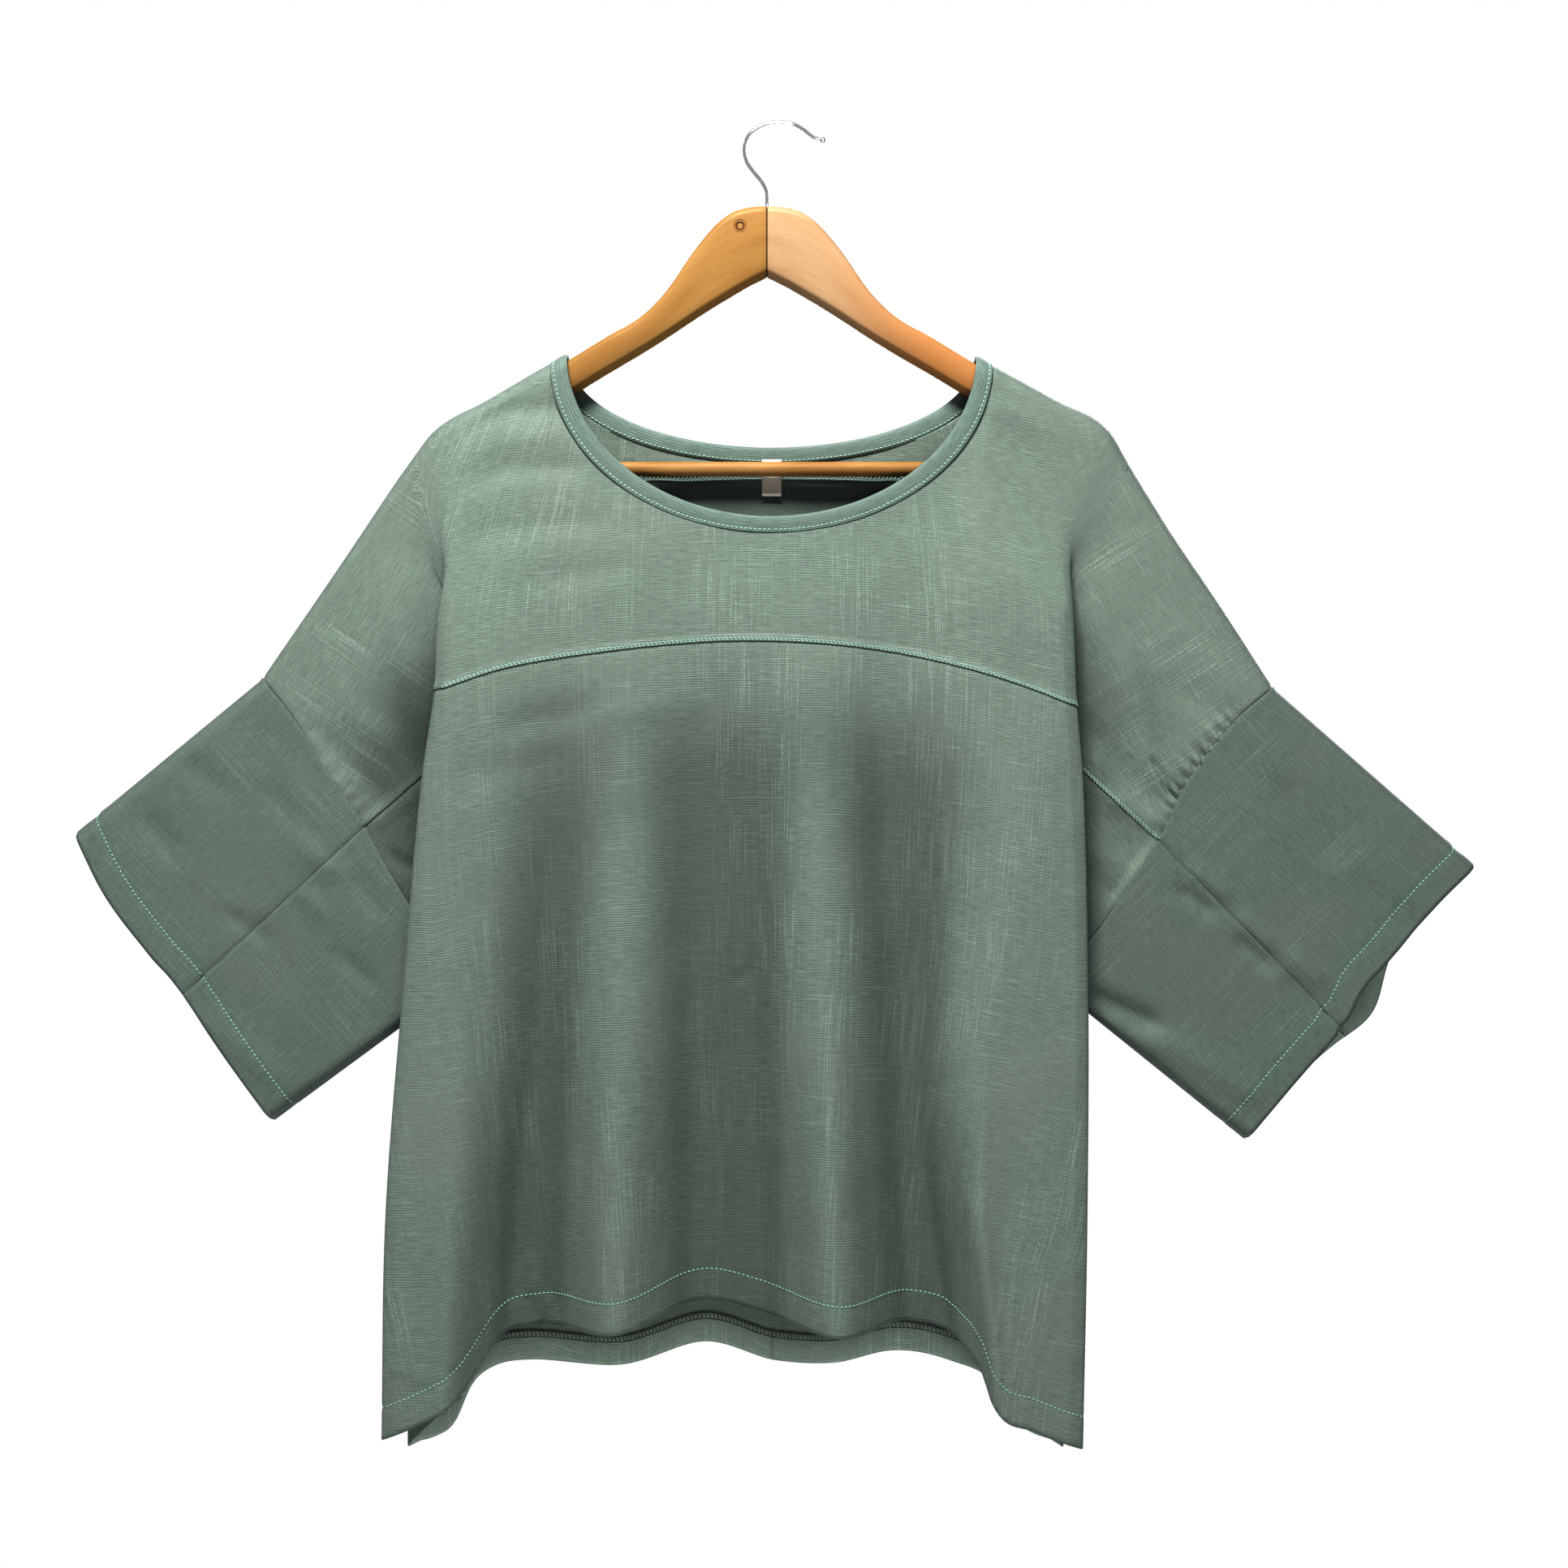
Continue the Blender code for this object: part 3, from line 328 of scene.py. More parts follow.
def upper_fold(side):
    """The shoulder ridge and the overarm fold as a fine line in the front view, on to the sleeve hem."""
    rows = np.array(RIDGE[side], float)
    x = np.linspace(rows[0, 0], rows[-1, 0], RIDGE_POINTS)
    ridge = np.stack([x, ridge_at(side, x)[..., 0]], -1)
    return np.vstack([ridge, SLEEVE_HEM[side][0][1:]])


def lower_fold(side):
    """The sleeve's lower fold from the underarm point to the sleeve hem."""
    return np.array([CUFF_SEAM[side][-1][1:], SLEEVE_HEM[side][-1][1:]], float)


def bend_over(points, line, middle):
    """Bends flat layers round a fold line, whose depth is the middle between front and back."""
    x, y, z = points[..., 0], points[..., 1], points[..., 2]
    off = roundness(distance_to_line(x, z, line), FOLD_ROUND)
    return np.stack([x, middle + (y - middle) * off, z], -1)


# ---------------------------------------------------------------- the net of one side and one face

class Sheet:
    """The front or back cloth of one side, from the middle of the garment out to the cuff seam."""

    def __init__(self, side, face):
        self.side, self.face = side, face
        self.out, self.outwards = OUT[side], OUTWARDS[face]
        self.edge, self.tuck, self.flaps = EDGE[face][side], TUCK[face][side], FLAPS[face][side]
        self.seam, self.hem, self.folds, self.middle = SEAM[face], HEM[face], FOLDS[face], MIDDLE[face]
        self.neck_bottom = NECK_BOTTOM[face]
        end = 0 if side == "left" else -1
        self.edge_levels = (self.edge[0][0], self.seam[end][1], self.hem[end][1])

    def edge_points(self, level):
        """Points of the body's fold edge."""
        z = np.interp(level, (0, 1, 2), self.edge_levels)
        xy = read_table(self.edge, z)
        return np.stack([xy[..., 0], xy[..., 1], z], -1)

    def tuck_points(self, level):
        """Points of the tuck's apex, which becomes the side seam below the underarm point."""
        side_seam = SIDE_SEAM[self.side]
        underarm_z, underarm_x, _ = side_seam[0]
        levels = (self.tuck[0][0], SEAM_AT_TUCK[self.face], underarm_z, HEM_AT_SIDE_SEAM[self.side])
        z = np.interp(level, (0, 1, UNDERARM, 2), levels)
        tuck = self.tuck + ((underarm_z, underarm_x, self.tuck[-1][2]),)
        above, below = read_table(tuck, z), read_table(side_seam, z)
        xy = np.where(np.asarray(level)[..., None] < UNDERARM, above, below)
        return np.stack([xy[..., 0], xy[..., 1], z], -1)

    def cuff_points(self, level):
        """Points of the cuff seam, before the sleeve's folds round it."""
        xz = read_table(CUFF_SEAM[self.side], np.minimum(level, UNDERARM))
        y = np.full(len(xz), SLEEVE_MIDDLE + self.outwards * SLEEVE_ROUND)
        return np.stack([xz[:, 0], y, xz[:, 1]], -1)

    def flat_ends(self, level):
        """Where the flat panel ends beside its fold edge, and how far the layers bow apart there."""
        edge, tuck = self.edge_points(level), self.tuck_points(level)
        reach = np.clip((edge[:, 0] - tuck[:, 0]) * self.out / 2, *FOLD_REACH)
        lift = np.minimum(np.abs(tuck[:, 1] - edge[:, 1]) / 2, FOLD_LIFT)
        return edge[:, 0] - self.out * reach, edge[:, 1] + self.outwards * lift, reach, lift

    def panel_points(self, level, share):
        """Points of the flat panel: share 0 is the middle and share 1 the end beside the fold edge."""
        end_x, end_y, _, _ = self.flat_ends(level)
        top_end_x, seam_end_x, hem_end_x = self.flat_ends(np.array([0.0, 1.0, 2.0]))[0]
        level, share = level[None, :], share[:, None]
        neck_share = NECK_SHARE[self.side]
        neck_angle = np.minimum(share / neck_share, 1) ** (1 / NECK_SPREAD) * math.pi / 2
        neck_half_width = NECK_HALF_WIDTH + NECK_GAP
        neck_side_x = NECK_X + self.out * neck_half_width
        past_neck = np.maximum(share - neck_share, 0) / (1 - neck_share)
        top_x = (NECK_X + self.out * neck_half_width * np.sin(neck_angle)
                 + (top_end_x - neck_side_x) * past_neck)
        neck_side_z = ridge_at(self.side, neck_side_x)[0]
        neck_z = neck_side_z + (self.neck_bottom - NECK_GAP - neck_side_z) * np.cos(neck_angle)
        top_z = np.where(share < neck_share, neck_z, ridge_at(self.side, top_x)[..., 0])
        seam_x = NECK_X + (seam_end_x - NECK_X) * share
        seam_z = read_table(self.seam, seam_x)[..., 0]
        bend = end_x - (top_end_x + (seam_end_x - top_end_x) * level)
        yoke_x = top_x + (seam_x - top_x) * level + bend * ease(BEND_START, 1, share)
        yoke_z = top_z + (seam_z - top_z) * level
        skirt_x = NECK_X + (end_x - NECK_X) * share
        hem_z = read_table(self.hem, NECK_X + (hem_end_x - NECK_X) * share)[..., 0]
        skirt_z = seam_z + (hem_z - seam_z) * (level - 1)
        x = np.where(level < 1, yoke_x, skirt_x)
        z = np.where(level < 1, yoke_z, skirt_z)
        place = np.clip((x - NECK_X) / (end_x - NECK_X), 0, 1)
        return np.stack([x, self.panel_depth(x, level, place, end_y), z], -1)

    def panel_depth(self, x, level, place, end_y):
        """Depth of the panel: its middle, its outer flap and its hanging folds."""
        down = np.clip(level - 1, 0, 1)
        flank = read_table(self.flaps, level)
        middle = read_table(self.middle, level)[..., 0]
        y = middle + (end_y - middle) * ease(flank[..., 0], flank[..., 1], place)
        for x_seam, x_hem, rise_seam, rise_hem, half_width in self.folds:
            fold_x = x_seam + (x_hem - x_seam) * down
            rise = rise_seam * np.clip(level, 0, 1) + (rise_hem - rise_seam) * down
            reach = np.clip(np.abs(x - fold_x) / half_width, 0, 1)
            y = y + self.outwards * rise * (1 + np.cos(math.pi * reach)) / 2
        return y

    def rows(self, level, share, steps):
        """The cloth as columns by rows: the panel's shares, then steps past it.

        Step 1 is the fold edge, 2 the middle of the layer that returns behind the panel, 3 the tuck, 4 the
        start of the layer that runs out to the sleeve and 6 the cuff seam.
        """
        level = np.concatenate([[0.0], level])
        share = np.asarray(share, float)
        beside = 1 - (1 - NECK_SHARE[self.side]) / SHOULDER_STEPS
        panel = self.panel_points(level, share)
        before = self.panel_points(level, np.array([beside]))
        edge, tuck, cuff = self.edge_points(level), self.tuck_points(level), self.cuff_points(level)
        _, _, reach, lift = self.flat_ends(level)
        returning = (edge + tuck) / 2
        returning[:, 1] = (edge[:, 1] + read_table(self.tuck, tuck[:, 2])[:, 1]) / 2
        to_cuff = cuff - tuck
        width = np.maximum(np.linalg.norm(to_cuff[:, ::2], axis=-1), TINY)
        start = tuck + to_cuff * (np.minimum(reach, FLAP_START * width) / width)[:, None]
        start[:, 1] = tuck[:, 1] - self.outwards * np.minimum(lift, FLAP_LIFT * width)
        outer = np.stack([tuck, start, (start + cuff) / 2, cuff])
        above = (level < UNDERARM)[:, None]
        outer = np.where(above, bend_over(outer, lower_fold(self.side), SLEEVE_MIDDLE), outer)
        if steps[-1] <= AT_TUCK:
            other = Sheet(self.side, "back" if self.face == "front" else "front")
            mirrored = (other.edge_points(level) + other.tuck_points(level)) / 2
            outer[1] = np.where(above, outer[1], mirrored)
        net = np.concatenate([np.stack([before[0], panel[-1], edge, returning]), outer])
        cloth = np.concatenate([panel, smooth(np.arange(-1, AT_CUFF + 1), net, steps)])
        below_ridge = ridge_at(self.side, cloth[:, :1, 0])[..., 0] - cloth[:, :1, 2]
        below_ridge[:len(panel)] = 0
        cloth[..., 2] += below_ridge * np.clip(1 - level, 0, 1) ** 2
        cloth = cloth[:, 1:]
        return bend_over(cloth, upper_fold(self.side), ridge_at(self.side, cloth[..., 0])[..., 1])


def sleeve_rows(side, face, level, along):
    """One layer of the sleeve end: levels run as on the cuff seam, along is 0 there and 1 at the hem."""
    level = np.asarray(level, float)
    seam = read_table(CUFF_SEAM[side], level)[:, None, :]
    hem = read_table(SLEEVE_HEM[side], level)[:, None, :]
    along = np.asarray(along, float)[None, :]
    xz = seam + (hem - seam) * along[..., None]
    stand_off = SLEEVE_ROUND + HEM_OPENING * along ** 2 + 0 * xz[..., 0]
    y = SLEEVE_MIDDLE + (-stand_off if face == "front" else stand_off)
    layer = np.stack([xz[..., 0], y, xz[..., 1]], -1)
    layer = bend_over(layer, lower_fold(side), SLEEVE_MIDDLE)
    return bend_over(layer, upper_fold(side), ridge_at(side, layer[..., 0])[..., 1])


# ---------------------------------------------------------------- drape laid one by one

# Soft troughs (rise below 0) and ridges: x and z of both ends, half width, rise
CREASES = {
    "front": (
        (-189, -190, -147, -187, 7, -1.6), (-192, -228, -140, -226, 8, -1.6),
        (-188, -208, -150, -206, 7, 1.0), (-190, -268, -128, -262, 9, -1.0),
        (-150, -300, -110, -292, 9, -0.9), (-165, -392, -128, -384, 10, -1.6),
        (-190, -425, -150, -415, 11, -1.2), (-120, -386, -60, -380, 8, 0.7),
        (146, -205, 176, -235, 9, -1.0), (150, -190, 186, -205, 7, 0.8),
        (-26, -556, -22, -552, 4, -1.0), (120, -700, 133, -800, 7, 2.0),
        (112, -530, 110, -640, 9, 1.6), (60, -355, 66, -470, 10, -0.8),
        (-172, -770, -167, -784, 3, 1.0), (-163, -768, -157, -786, 3.2, -1.3),
        (-152, -768, -148, -784, 3, 1.1), (-143, -768, -140, -780, 3, -1.0),
        (100, -772, 98, -786, 4, -0.8), (-242, -800, -222, -806, 3, 1.0),
    ),
    "back": (
        (-150, -270, -95, -262, 9, -1.2), (100, -270, 150, -284, 9, -1.2), (-60, -300, 40, -296, 12, -0.8),
        (-170, -420, -120, -404, 10, -1.0), (120, -430, 165, -448, 10, -1.0), (-20, -560, 10, -600, 8, 0.8),
    ),
}
# The same on the upper sleeves, mostly from the shoulder's fold down to the cuff seam
SLEEVE_CREASES = {
    ("left", "front"): ((-250, -330, -244, -350, 24, 3.5), (-246, -440, -236, -470, 20, -2.4),
                        (-250, -250, -242, -330, 9, -1.6), (-262, -330, -244, -408, 10, -1.2),
                        (-300, -395, -262, -437, 8, -1.4), (-290, -370, -262, -400, 8, 0.9),
                        (-236, -436, -262, -455, 6, 1.0), (-238, -486, -262, -474, 5, -1.2)),
    ("right", "front"): ((205, -330, 218, -360, 20, 3.0), (206, -452, 222, -470, 18, -3.5),
                         (190, -312, 196, -400, 10, -2.5), (226, -355, 240, -420, 10, 1.8),
                         (259, -371, 294, -390, 7, -2.6), (281, -360, 305, -381, 6, 1.8),
                         (222, -443, 242, -456, 7, 1.6), (242, -418, 252, -437, 2.2, -1.6),
                         (247, -414, 257, -433, 2.2, 0.9), (204, -400, 236, -436, 9, -1.2),
                         (196, -488, 214, -500, 7, -1.6), (204, -474, 218, -482, 5, 0.6),
                         (180, -520, 190, -522, 6, 0.6)),
    ("left", "back"): ((-252, -262, -240, -350, 10, -1.6), (-296, -380, -258, -430, 9, -1.2)),
    ("right", "back"): ((212, -300, 214, -390, 12, -2.0), (262, -350, 284, -398, 10, -1.6)),
}
CUFF_CREASES = {
    ("left", "front"): ((-404, -462, -398, -470, 9, -0.9), (-376, -424, -368, -430, 8, -0.7),
                        (-326, -442, -318, -450, 8, -0.7), (-350, -520, -340, -526, 7, -0.9),
                        (-304, -476, -292, -486, 7, 0.8), (-284, -544, -270, -556, 7, -0.9),
                        (-306, -506, -298, -512, 6, 0.7), (-270, -498, -262, -510, 6, -0.8),
                        (-362, -590, -330, -618, 9, 0.7)),
    ("right", "front"): ((330, -440, 352, -470, 10, -1.2), (196, -566, 236, -584, 7, -3.0),
                         (250, -600, 300, -628, 9, 1.2), (380, -500, 404, -520, 9, -1.0),
                         (272, -490, 283, -499, 5, 1.3), (302, -521, 313, -531, 5, 1.4),
                         (332, -543, 342, -552, 5, 1.4), (262, -502, 274, -511, 5, -1.5),
                         (299, -535, 311, -545, 5, -1.6), (330, -560, 340, -570, 5, -1.0)),
    ("left", "back"): ((-340, -450, -300, -480, 9, -1.2), (-320, -570, -280, -600, 10, -1.2)),
    ("right", "back"): ((320, -450, 352, -480, 9, -1.2), (250, -590, 300, -620, 10, -1.2)),
}
SLEEVE_CREASE_RISE, CUFF_CREASE_RISE = 1.5, 1.7     # how many times the tables' rises their creases have
CREASE_FADE = 1.6           # half widths over which a crease fades out past its ends
SLEEVE_CREASE_STEPS = (3.4, 4.2)    # the upper sleeve's creases begin between these steps
CUFF_CALM = (0.5, 7.0)      # and end between these distances from the cuff seam
RIDGE_CALM = (0.5, 12.0)    # creases end between these distances from the shoulder ridge
SLEEVE_FOLD_CALM = (0.5, 10.0)  # and, on a sleeve end, between these distances from its folds
# Puckers where the sleeve is a little too full for its cuff: side, level, half width, depth
PUCKERS = (
    ("right", 0.27, 2.2, 1.0), ("right", 0.33, 2.0, 1.7), ("right", 0.39, 2.2, 2.0),
    ("right", 0.46, 2.0, 1.6), ("right", 0.52, 2.4, 2.2), ("right", 0.585, 2.0, 1.7),
    ("right", 0.65, 2.1, 2.0), ("right", 0.715, 2.0, 1.5), ("right", 0.78, 2.3, 1.7),
    ("right", 0.85, 2.0, 1.1), ("right", 0.92, 2.1, 0.9),
    ("left", 0.3, 3.0, 0.3), ("left", 0.42, 3.2, 0.4), ("left", 0.55, 3.0, 0.4), ("left", 0.66, 3.2, 0.5),
    ("left", 0.78, 3.0, 0.4), ("left", 0.88, 2.8, 0.5), ("left", 0.96, 2.4, 0.4),
)
PUCKER_LENGTH, PUCKER_RISE = 8.0, 1.6
PUCKER_GROOVE = 1.3         # shares of its depth that a pucker has in its middle
PUCKER_RIDGE, PUCKER_RIDGE_AT = 0.7, 1.5    # and as the ridge beside it, so many half widths away
PUCKER_FADE = 1.5           # power with which it fades away from the seam
PUCKER_EDGE = 1.2           # it begins this far from the seam
SOFT_LEVELS = (0.3, 0.62)   # the fold beside the body is softened above the first level, not below the second
SOFT_START = 0.05           # level from which it is softened in full
SOFT_COLUMNS = 14           # columns of the panel that are softened with it
SOFT_PASSES = 90
VALLEY_REACH, VALLEY_SHADE = 18.0, 0.35  # how far out of a valley its painted shade reaches, and how dark it is
VALLEY_LEVELS = (1.0, 1.2)  # the painted shade comes in between these levels
SLEEVE_SHADES = {"left": (160.0, 0.72), "right": (100.0, 0.62)}  # the same painted shade for the sleeve beside the body
SLEEVE_SHADE_LEVELS = (0.3, 0.9)
UNEVEN_WAVES = 7
UNEVEN_RISE = 0.08
UNEVEN_LENGTHS = (30.0, 110.0)
SEEDS = {"front": 11, "back": 31, "sleeve end": 50}
# Where a layer of a sleeve hem is drawn back, or hangs out below 0: level, half width, depth
HEM_DIPS = {("right", "front"): ((1.0, 0.13, -8.0), (1.0, 0.02, 1.5)),
            ("right", "back"): ((0.9, 0.23, -22.0),)}
HEM_DIP_POWER = 3           # how late along the sleeve end such a dip begins
# Gathers beside a row of stitches: their rise, and how far from the row they reach
BODY_GATHERS = 0.25
SLEEVE_GATHERS = {"left": 0.5, "right": 0.85}
GATHER_REACH = 6.0
GROOVE_DEPTH, GROOVE_HALF_WIDTH = 0.4, 1.7  # how such a row draws the cloth in
# What makes those rows uneven, as waves along them: height, radians per mm, start
PULL_SWAY = (2.0, 0.11, 0.0)
FINE_PULL = (0.3, 1.37, 0.0)
GATHER_SWAY = ((1.8, 0.057, 0.0), (1.1, 0.173, 1.0))
GATHER_SWELL = (0.45, 0.083, 2.0)
PULL, PULL_RATE = 0.5, 0.62             # height, radians per mm
GATHER_RATE, GATHER_SLANT = 0.66, 0.3   # radians per mm along the row and away from it


def creases(x, z, rows):
    """Rise of all the creases of a table, each soft across and fading out at its ends."""
    total = np.zeros_like(x)
    for start_x, start_z, end_x, end_z, half_width, rise in rows:
        along = np.array([end_x - start_x, end_z - start_z], float)
        length = np.linalg.norm(along)
        to_point = np.stack([x - start_x, z - start_z], -1)
        run = to_point @ (along / length) / length
        past_end = np.maximum(np.abs(run - 0.5) - 0.5, 0) * length
        off = to_point @ (np.array([-along[1], along[0]]) / length)
        total += rise * np.exp(-(off / half_width) ** 2 - (past_end / (CREASE_FADE * half_width)) ** 2)
    return total


def unevenness(x, z, seed):
    """The slight waves that no hanging cloth is without."""
    draw = np.random.default_rng(seed)
    total = np.zeros_like(x)
    for _ in range(UNEVEN_WAVES):
        turn, start = draw.uniform(0, math.pi), draw.uniform(0, 2 * math.pi)
        length = draw.uniform(*UNEVEN_LENGTHS)
        total += np.sin((x * math.cos(turn) + z * math.sin(turn)) * 2 * math.pi / length + start)
    return total * UNEVEN_RISE


# ---------------------------------------------------------------- layers of cloth

def waves(run, *parts):
    """A sum of sine waves along a run: height, radians per mm and start of each."""
    return sum(height * np.sin(run * rate + start) for height, rate, start in parts)


def read_along(away, values, distance):
    """Reads each row's values at a distance, where away says how far they lie from the row's start."""
    return np.array([[np.interp(distance, places, row[:, k]) for k in range(3)]
                     for places, row in zip(away, values)])


def distance_from(points, axis, last):
    """How far each point of a grid lies from its first or last column (axis 0) or row (axis 1)."""
    steps = np.linalg.norm(np.diff(points, axis=axis), axis=-1)
    along = np.insert(np.cumsum(steps, axis), 0, 0, axis)
    return np.take(along, [-1], axis) - along if last else along


class Layer:
    """A grid of cloth: columns by rows of points, and where each point lies along the threads."""

    def __init__(self, points, threads, turn):
        self.points, self.threads, self.turn = points, threads, turn

    def normals(self):
        """The way out of the cloth at each point."""
        across = np.gradient(self.points, axis=0)
        down = np.gradient(self.points, axis=1)
        normal = np.cross(across, down) * self.turn
        return normal / np.maximum(np.linalg.norm(normal, axis=-1, keepdims=True), TINY)

    def lift(self, rise):
        """Moves the cloth out of its own plane by a rise for each point."""
        self.points = self.points + self.normals() * rise[..., None]

    def lap(self, axis, last, rise=LAP_RISE, width=LAP_WIDTH):
        """Raises the cloth along an edge that lies over another piece, with a soft step."""
        away = distance_from(self.points, axis, last)
        slope = ease(LAP_SLOPE[0] * width, LAP_SLOPE[1] * width, away)
        self.lift(rise * slope * ease(*LAP_EDGE, away))

    def sink(self, axis, last, depth, reach=SEAM_REACH):
        """Draws the cloth in along an edge."""
        away = distance_from(self.points, axis, last)
        self.lift(-depth * ease(reach, 0, away))

    def groove(self, axis, last, distance, depth=GROOVE_DEPTH, gathers=0.0):
        """Draws the cloth in along a row of stitches, more in some places than in others.

        Gathers are short slanting waves that the row pulls into the cloth on both of its sides.
        """
        away = distance_from(self.points, axis, last)
        run = distance_from(self.points, 1 - axis, False)
        pull = 1 + PULL * np.sin(run * PULL_RATE + waves(run, PULL_SWAY)) + waves(run, FINE_PULL)
        slant = run * GATHER_RATE + away * GATHER_SLANT + waves(run, *GATHER_SWAY)
        gathered = gathers * np.sin(slant) * (1 - GATHER_SWELL[0] + waves(run, GATHER_SWELL))
        off = away - distance
        drawn_in = depth * pull * np.exp(-(off / GROOVE_HALF_WIDTH) ** 2)
        self.lift(gathered * np.exp(-(off / GATHER_REACH) ** 2) - drawn_in)

    def rows_from(self, axis, last):
        """Points, normals and distances in rows that start at an edge."""
        points, normals, away = self.points, self.normals(), distance_from(self.points, axis, last)
        if axis == 0:
            points, normals, away = points.swapaxes(0, 1), normals.swapaxes(0, 1), away.T
        return (points[:, ::-1], normals[:, ::-1], away[:, ::-1]) if last else (points, normals, away)

    def line(self, axis, last, distance, rise):
        """Points and normals along the cloth at a distance from one of its edges, raised off it."""
        points, normals, away = self.rows_from(axis, last)
        places, normals = read_along(away, points, distance), read_along(away, normals, distance)
        return np.stack([places + normals * rise, normals], 1)

    def turn_up(self, axis, depth, painted_light):
        """Folds the cloth in at its last row or column and back up inside itself, as a hem.

        Its last argument is painted light: how much paler than the right side this inner side of the cloth is
        painted.
        """
        points, normals, away = self.rows_from(axis, True)
        threads = self.threads.swapaxes(0, 1) if axis == 0 else self.threads
        across, down = threads[:, -1, 0], threads[:, -1, 1]
        inner, lines = [points[:, 0] - normals[:, 0] * HEM_LAYER / 2], [threads[:, -1]]
        for distance in np.linspace(HEM_TURN, depth, HEM_LINES):
            place, normal = read_along(away, points, distance), read_along(away, normals, distance)
            inner.append(place - normal * HEM_LAYER)
            # painted light on the inner layer, less of it further up the hem
            paler = painted_light * (1 - HEM_FADE * (distance / depth) ** 2)
            lines.append(np.stack([across, down - distance, np.full(len(points), -paler)], -1))
        points = np.concatenate([points[:, ::-1], np.stack(inner, 1)], 1)
        threads = np.concatenate([threads, np.stack(lines, 1)], 1)
        if axis == 0:
            points, threads = points.swapaxes(0, 1), threads.swapaxes(0, 1)
        return Layer(points, threads, self.turn)


def grid_faces(columns, rows, closed=False):
    """Quads of a grid whose points are counted row by row within each column."""
    wide = columns if closed else columns - 1
    return [((c % columns) * rows + r, ((c + 1) % columns) * rows + r,
             ((c + 1) % columns) * rows + r + 1, (c % columns) * rows + r + 1)
            for c in range(wide) for r in range(rows - 1)]


def add_object(name, work, finish):
    """Turns a bmesh into a piece that hangs with the rest."""
    mesh = bpy.data.meshes.new(name)
    bmesh.ops.recalc_face_normals(work, faces=work.faces)
    for face in work.faces:
        face.smooth = True
    work.to_mesh(mesh)
    work.free()
    mesh.materials.append(finish)
    made = bpy.data.objects.new(name, mesh)
    bpy.context.scene.collection.objects.link(made)
    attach(made, "root")
    return made


def add_grid(work, points, threads, closed=False):
    """Adds a grid of points to a mesh, with each point's place along the threads and its painted shade."""
    thread = work.verts.layers.float_vector.get("threads") or work.verts.layers.float_vector.new("threads")
    columns, rows = points.shape[:2]
    made = []
    if threads.shape[-1] == 2:
        threads = np.concatenate([threads, np.zeros_like(threads[..., :1])], -1)
    for point, place in zip(points.reshape(-1, 3) * MM, threads.reshape(-1, 3)):
        vert = work.verts.new(point)
        vert[thread] = place
        made.append(vert)
    for face in grid_faces(columns, rows, closed):
        work.faces.new([made[i] for i in face])


def cloth_object(name, layers, finish, thickness=CLOTH, inside=None):
    """Joins layers that share their edges into one piece of cloth, which may have its own finish inside."""
    work = bmesh.new()
    for layer in layers:
        add_grid(work, layer.points, layer.threads)
    bmesh.ops.remove_doubles(work, verts=work.verts, dist=WELD * MM)
    bmesh.ops.dissolve_degenerate(work, edges=work.edges, dist=WELD / 2 * MM)
    made = add_object(name, work, finish)
    thick = made.modifiers.new("thickness", "SOLIDIFY")
    thick.thickness = thickness * MM
    thick.offset = 0
    if inside:
        made.data.materials.append(inside)
        thick.material_offset = 1
    return made


# ---------------------------------------------------------------- sewing thread

def add_stitch(work, start, end, normal, radius):
    """One visible stitch between two points, dipping into the cloth at both ends."""
    along = end - start
    middle = (start + end) / 2
    side = np.cross(along, normal)
    side /= max(np.linalg.norm(side), TINY)
    turns = np.arange(STITCH_SIDES)[:, None] * 2 * math.pi / STITCH_SIDES
    ring = np.cos(turns) * side + np.sin(turns) * normal
    rings = []
    for run, width, height in STITCH_RINGS:
        centre = middle + along * run + normal * height
        rings.append([work.verts.new(point * MM) for point in centre + radius * width * ring])
    for first, second in zip(rings, rings[1:]):
        for i in range(STITCH_SIDES):
            j = (i + 1) % STITCH_SIDES
            work.faces.new([first[i], first[j], second[j], second[i]])
    work.faces.new(rings[0])
    work.faces.new(rings[-1])


def along_line(line, places):
    """Points and normals at distances along a line of points and normals."""
    steps = np.linalg.norm(np.diff(line[:, 0], axis=0), axis=-1)
    run = np.concatenate([[0], np.cumsum(steps)])
    flat = line.reshape(len(line), 6)
    read = np.stack([np.interp(places, run, flat[:, k]) for k in range(6)], -1)
    return read.reshape(-1, 2, 3)


def line_length(line):
    """How long a line of points and normals is."""
    return float(np.linalg.norm(np.diff(line[:, 0], axis=0), axis=-1).sum())


def stitch_places(line, pitch):
    """Distances of a row of stitches along a line."""
    return (np.arange(int(line_length(line) / pitch)) + 0.5) * pitch


def straight_stitches(work, line):
    """A row of plain machine stitches."""
    places, half = stitch_places(line, STITCH_PITCH), STITCH_LENGTH / 2
    for start, end in zip(along_line(line, places - half), along_line(line, places + half)):
        add_stitch(work, start[0], end[0], start[1], STITCH_RADIUS)


def overlock_stitches(work, near, far):
    """Loops of an overlocked edge, slanting between two lines that run side by side."""
    places = stitch_places(near, OVERLOCK_PITCH)
    reach = line_length(far) / line_length(near)
    near, far = along_line(near, places), along_line(far, (places + OVERLOCK_PITCH / 2) * reach)
    for starts, ends in ((near, far), (near[:-1], near[1:]), (far[:-1], far[1:])):
        for start, end in zip(starts, ends):
            add_stitch(work, start[0], end[0], start[1], OVERLOCK_RADIUS)


# ---------------------------------------------------------------- the pieces of the blouse

def panel_shares(side):
    """Shares of the half panel at which its columns lie."""
    neck = np.linspace(0, NECK_SHARE[side], PANEL_SHARES + 1)
    return np.concatenate([neck, np.linspace(NECK_SHARE[side], 1, SHOULDER_SHARES + 1)[1:]])


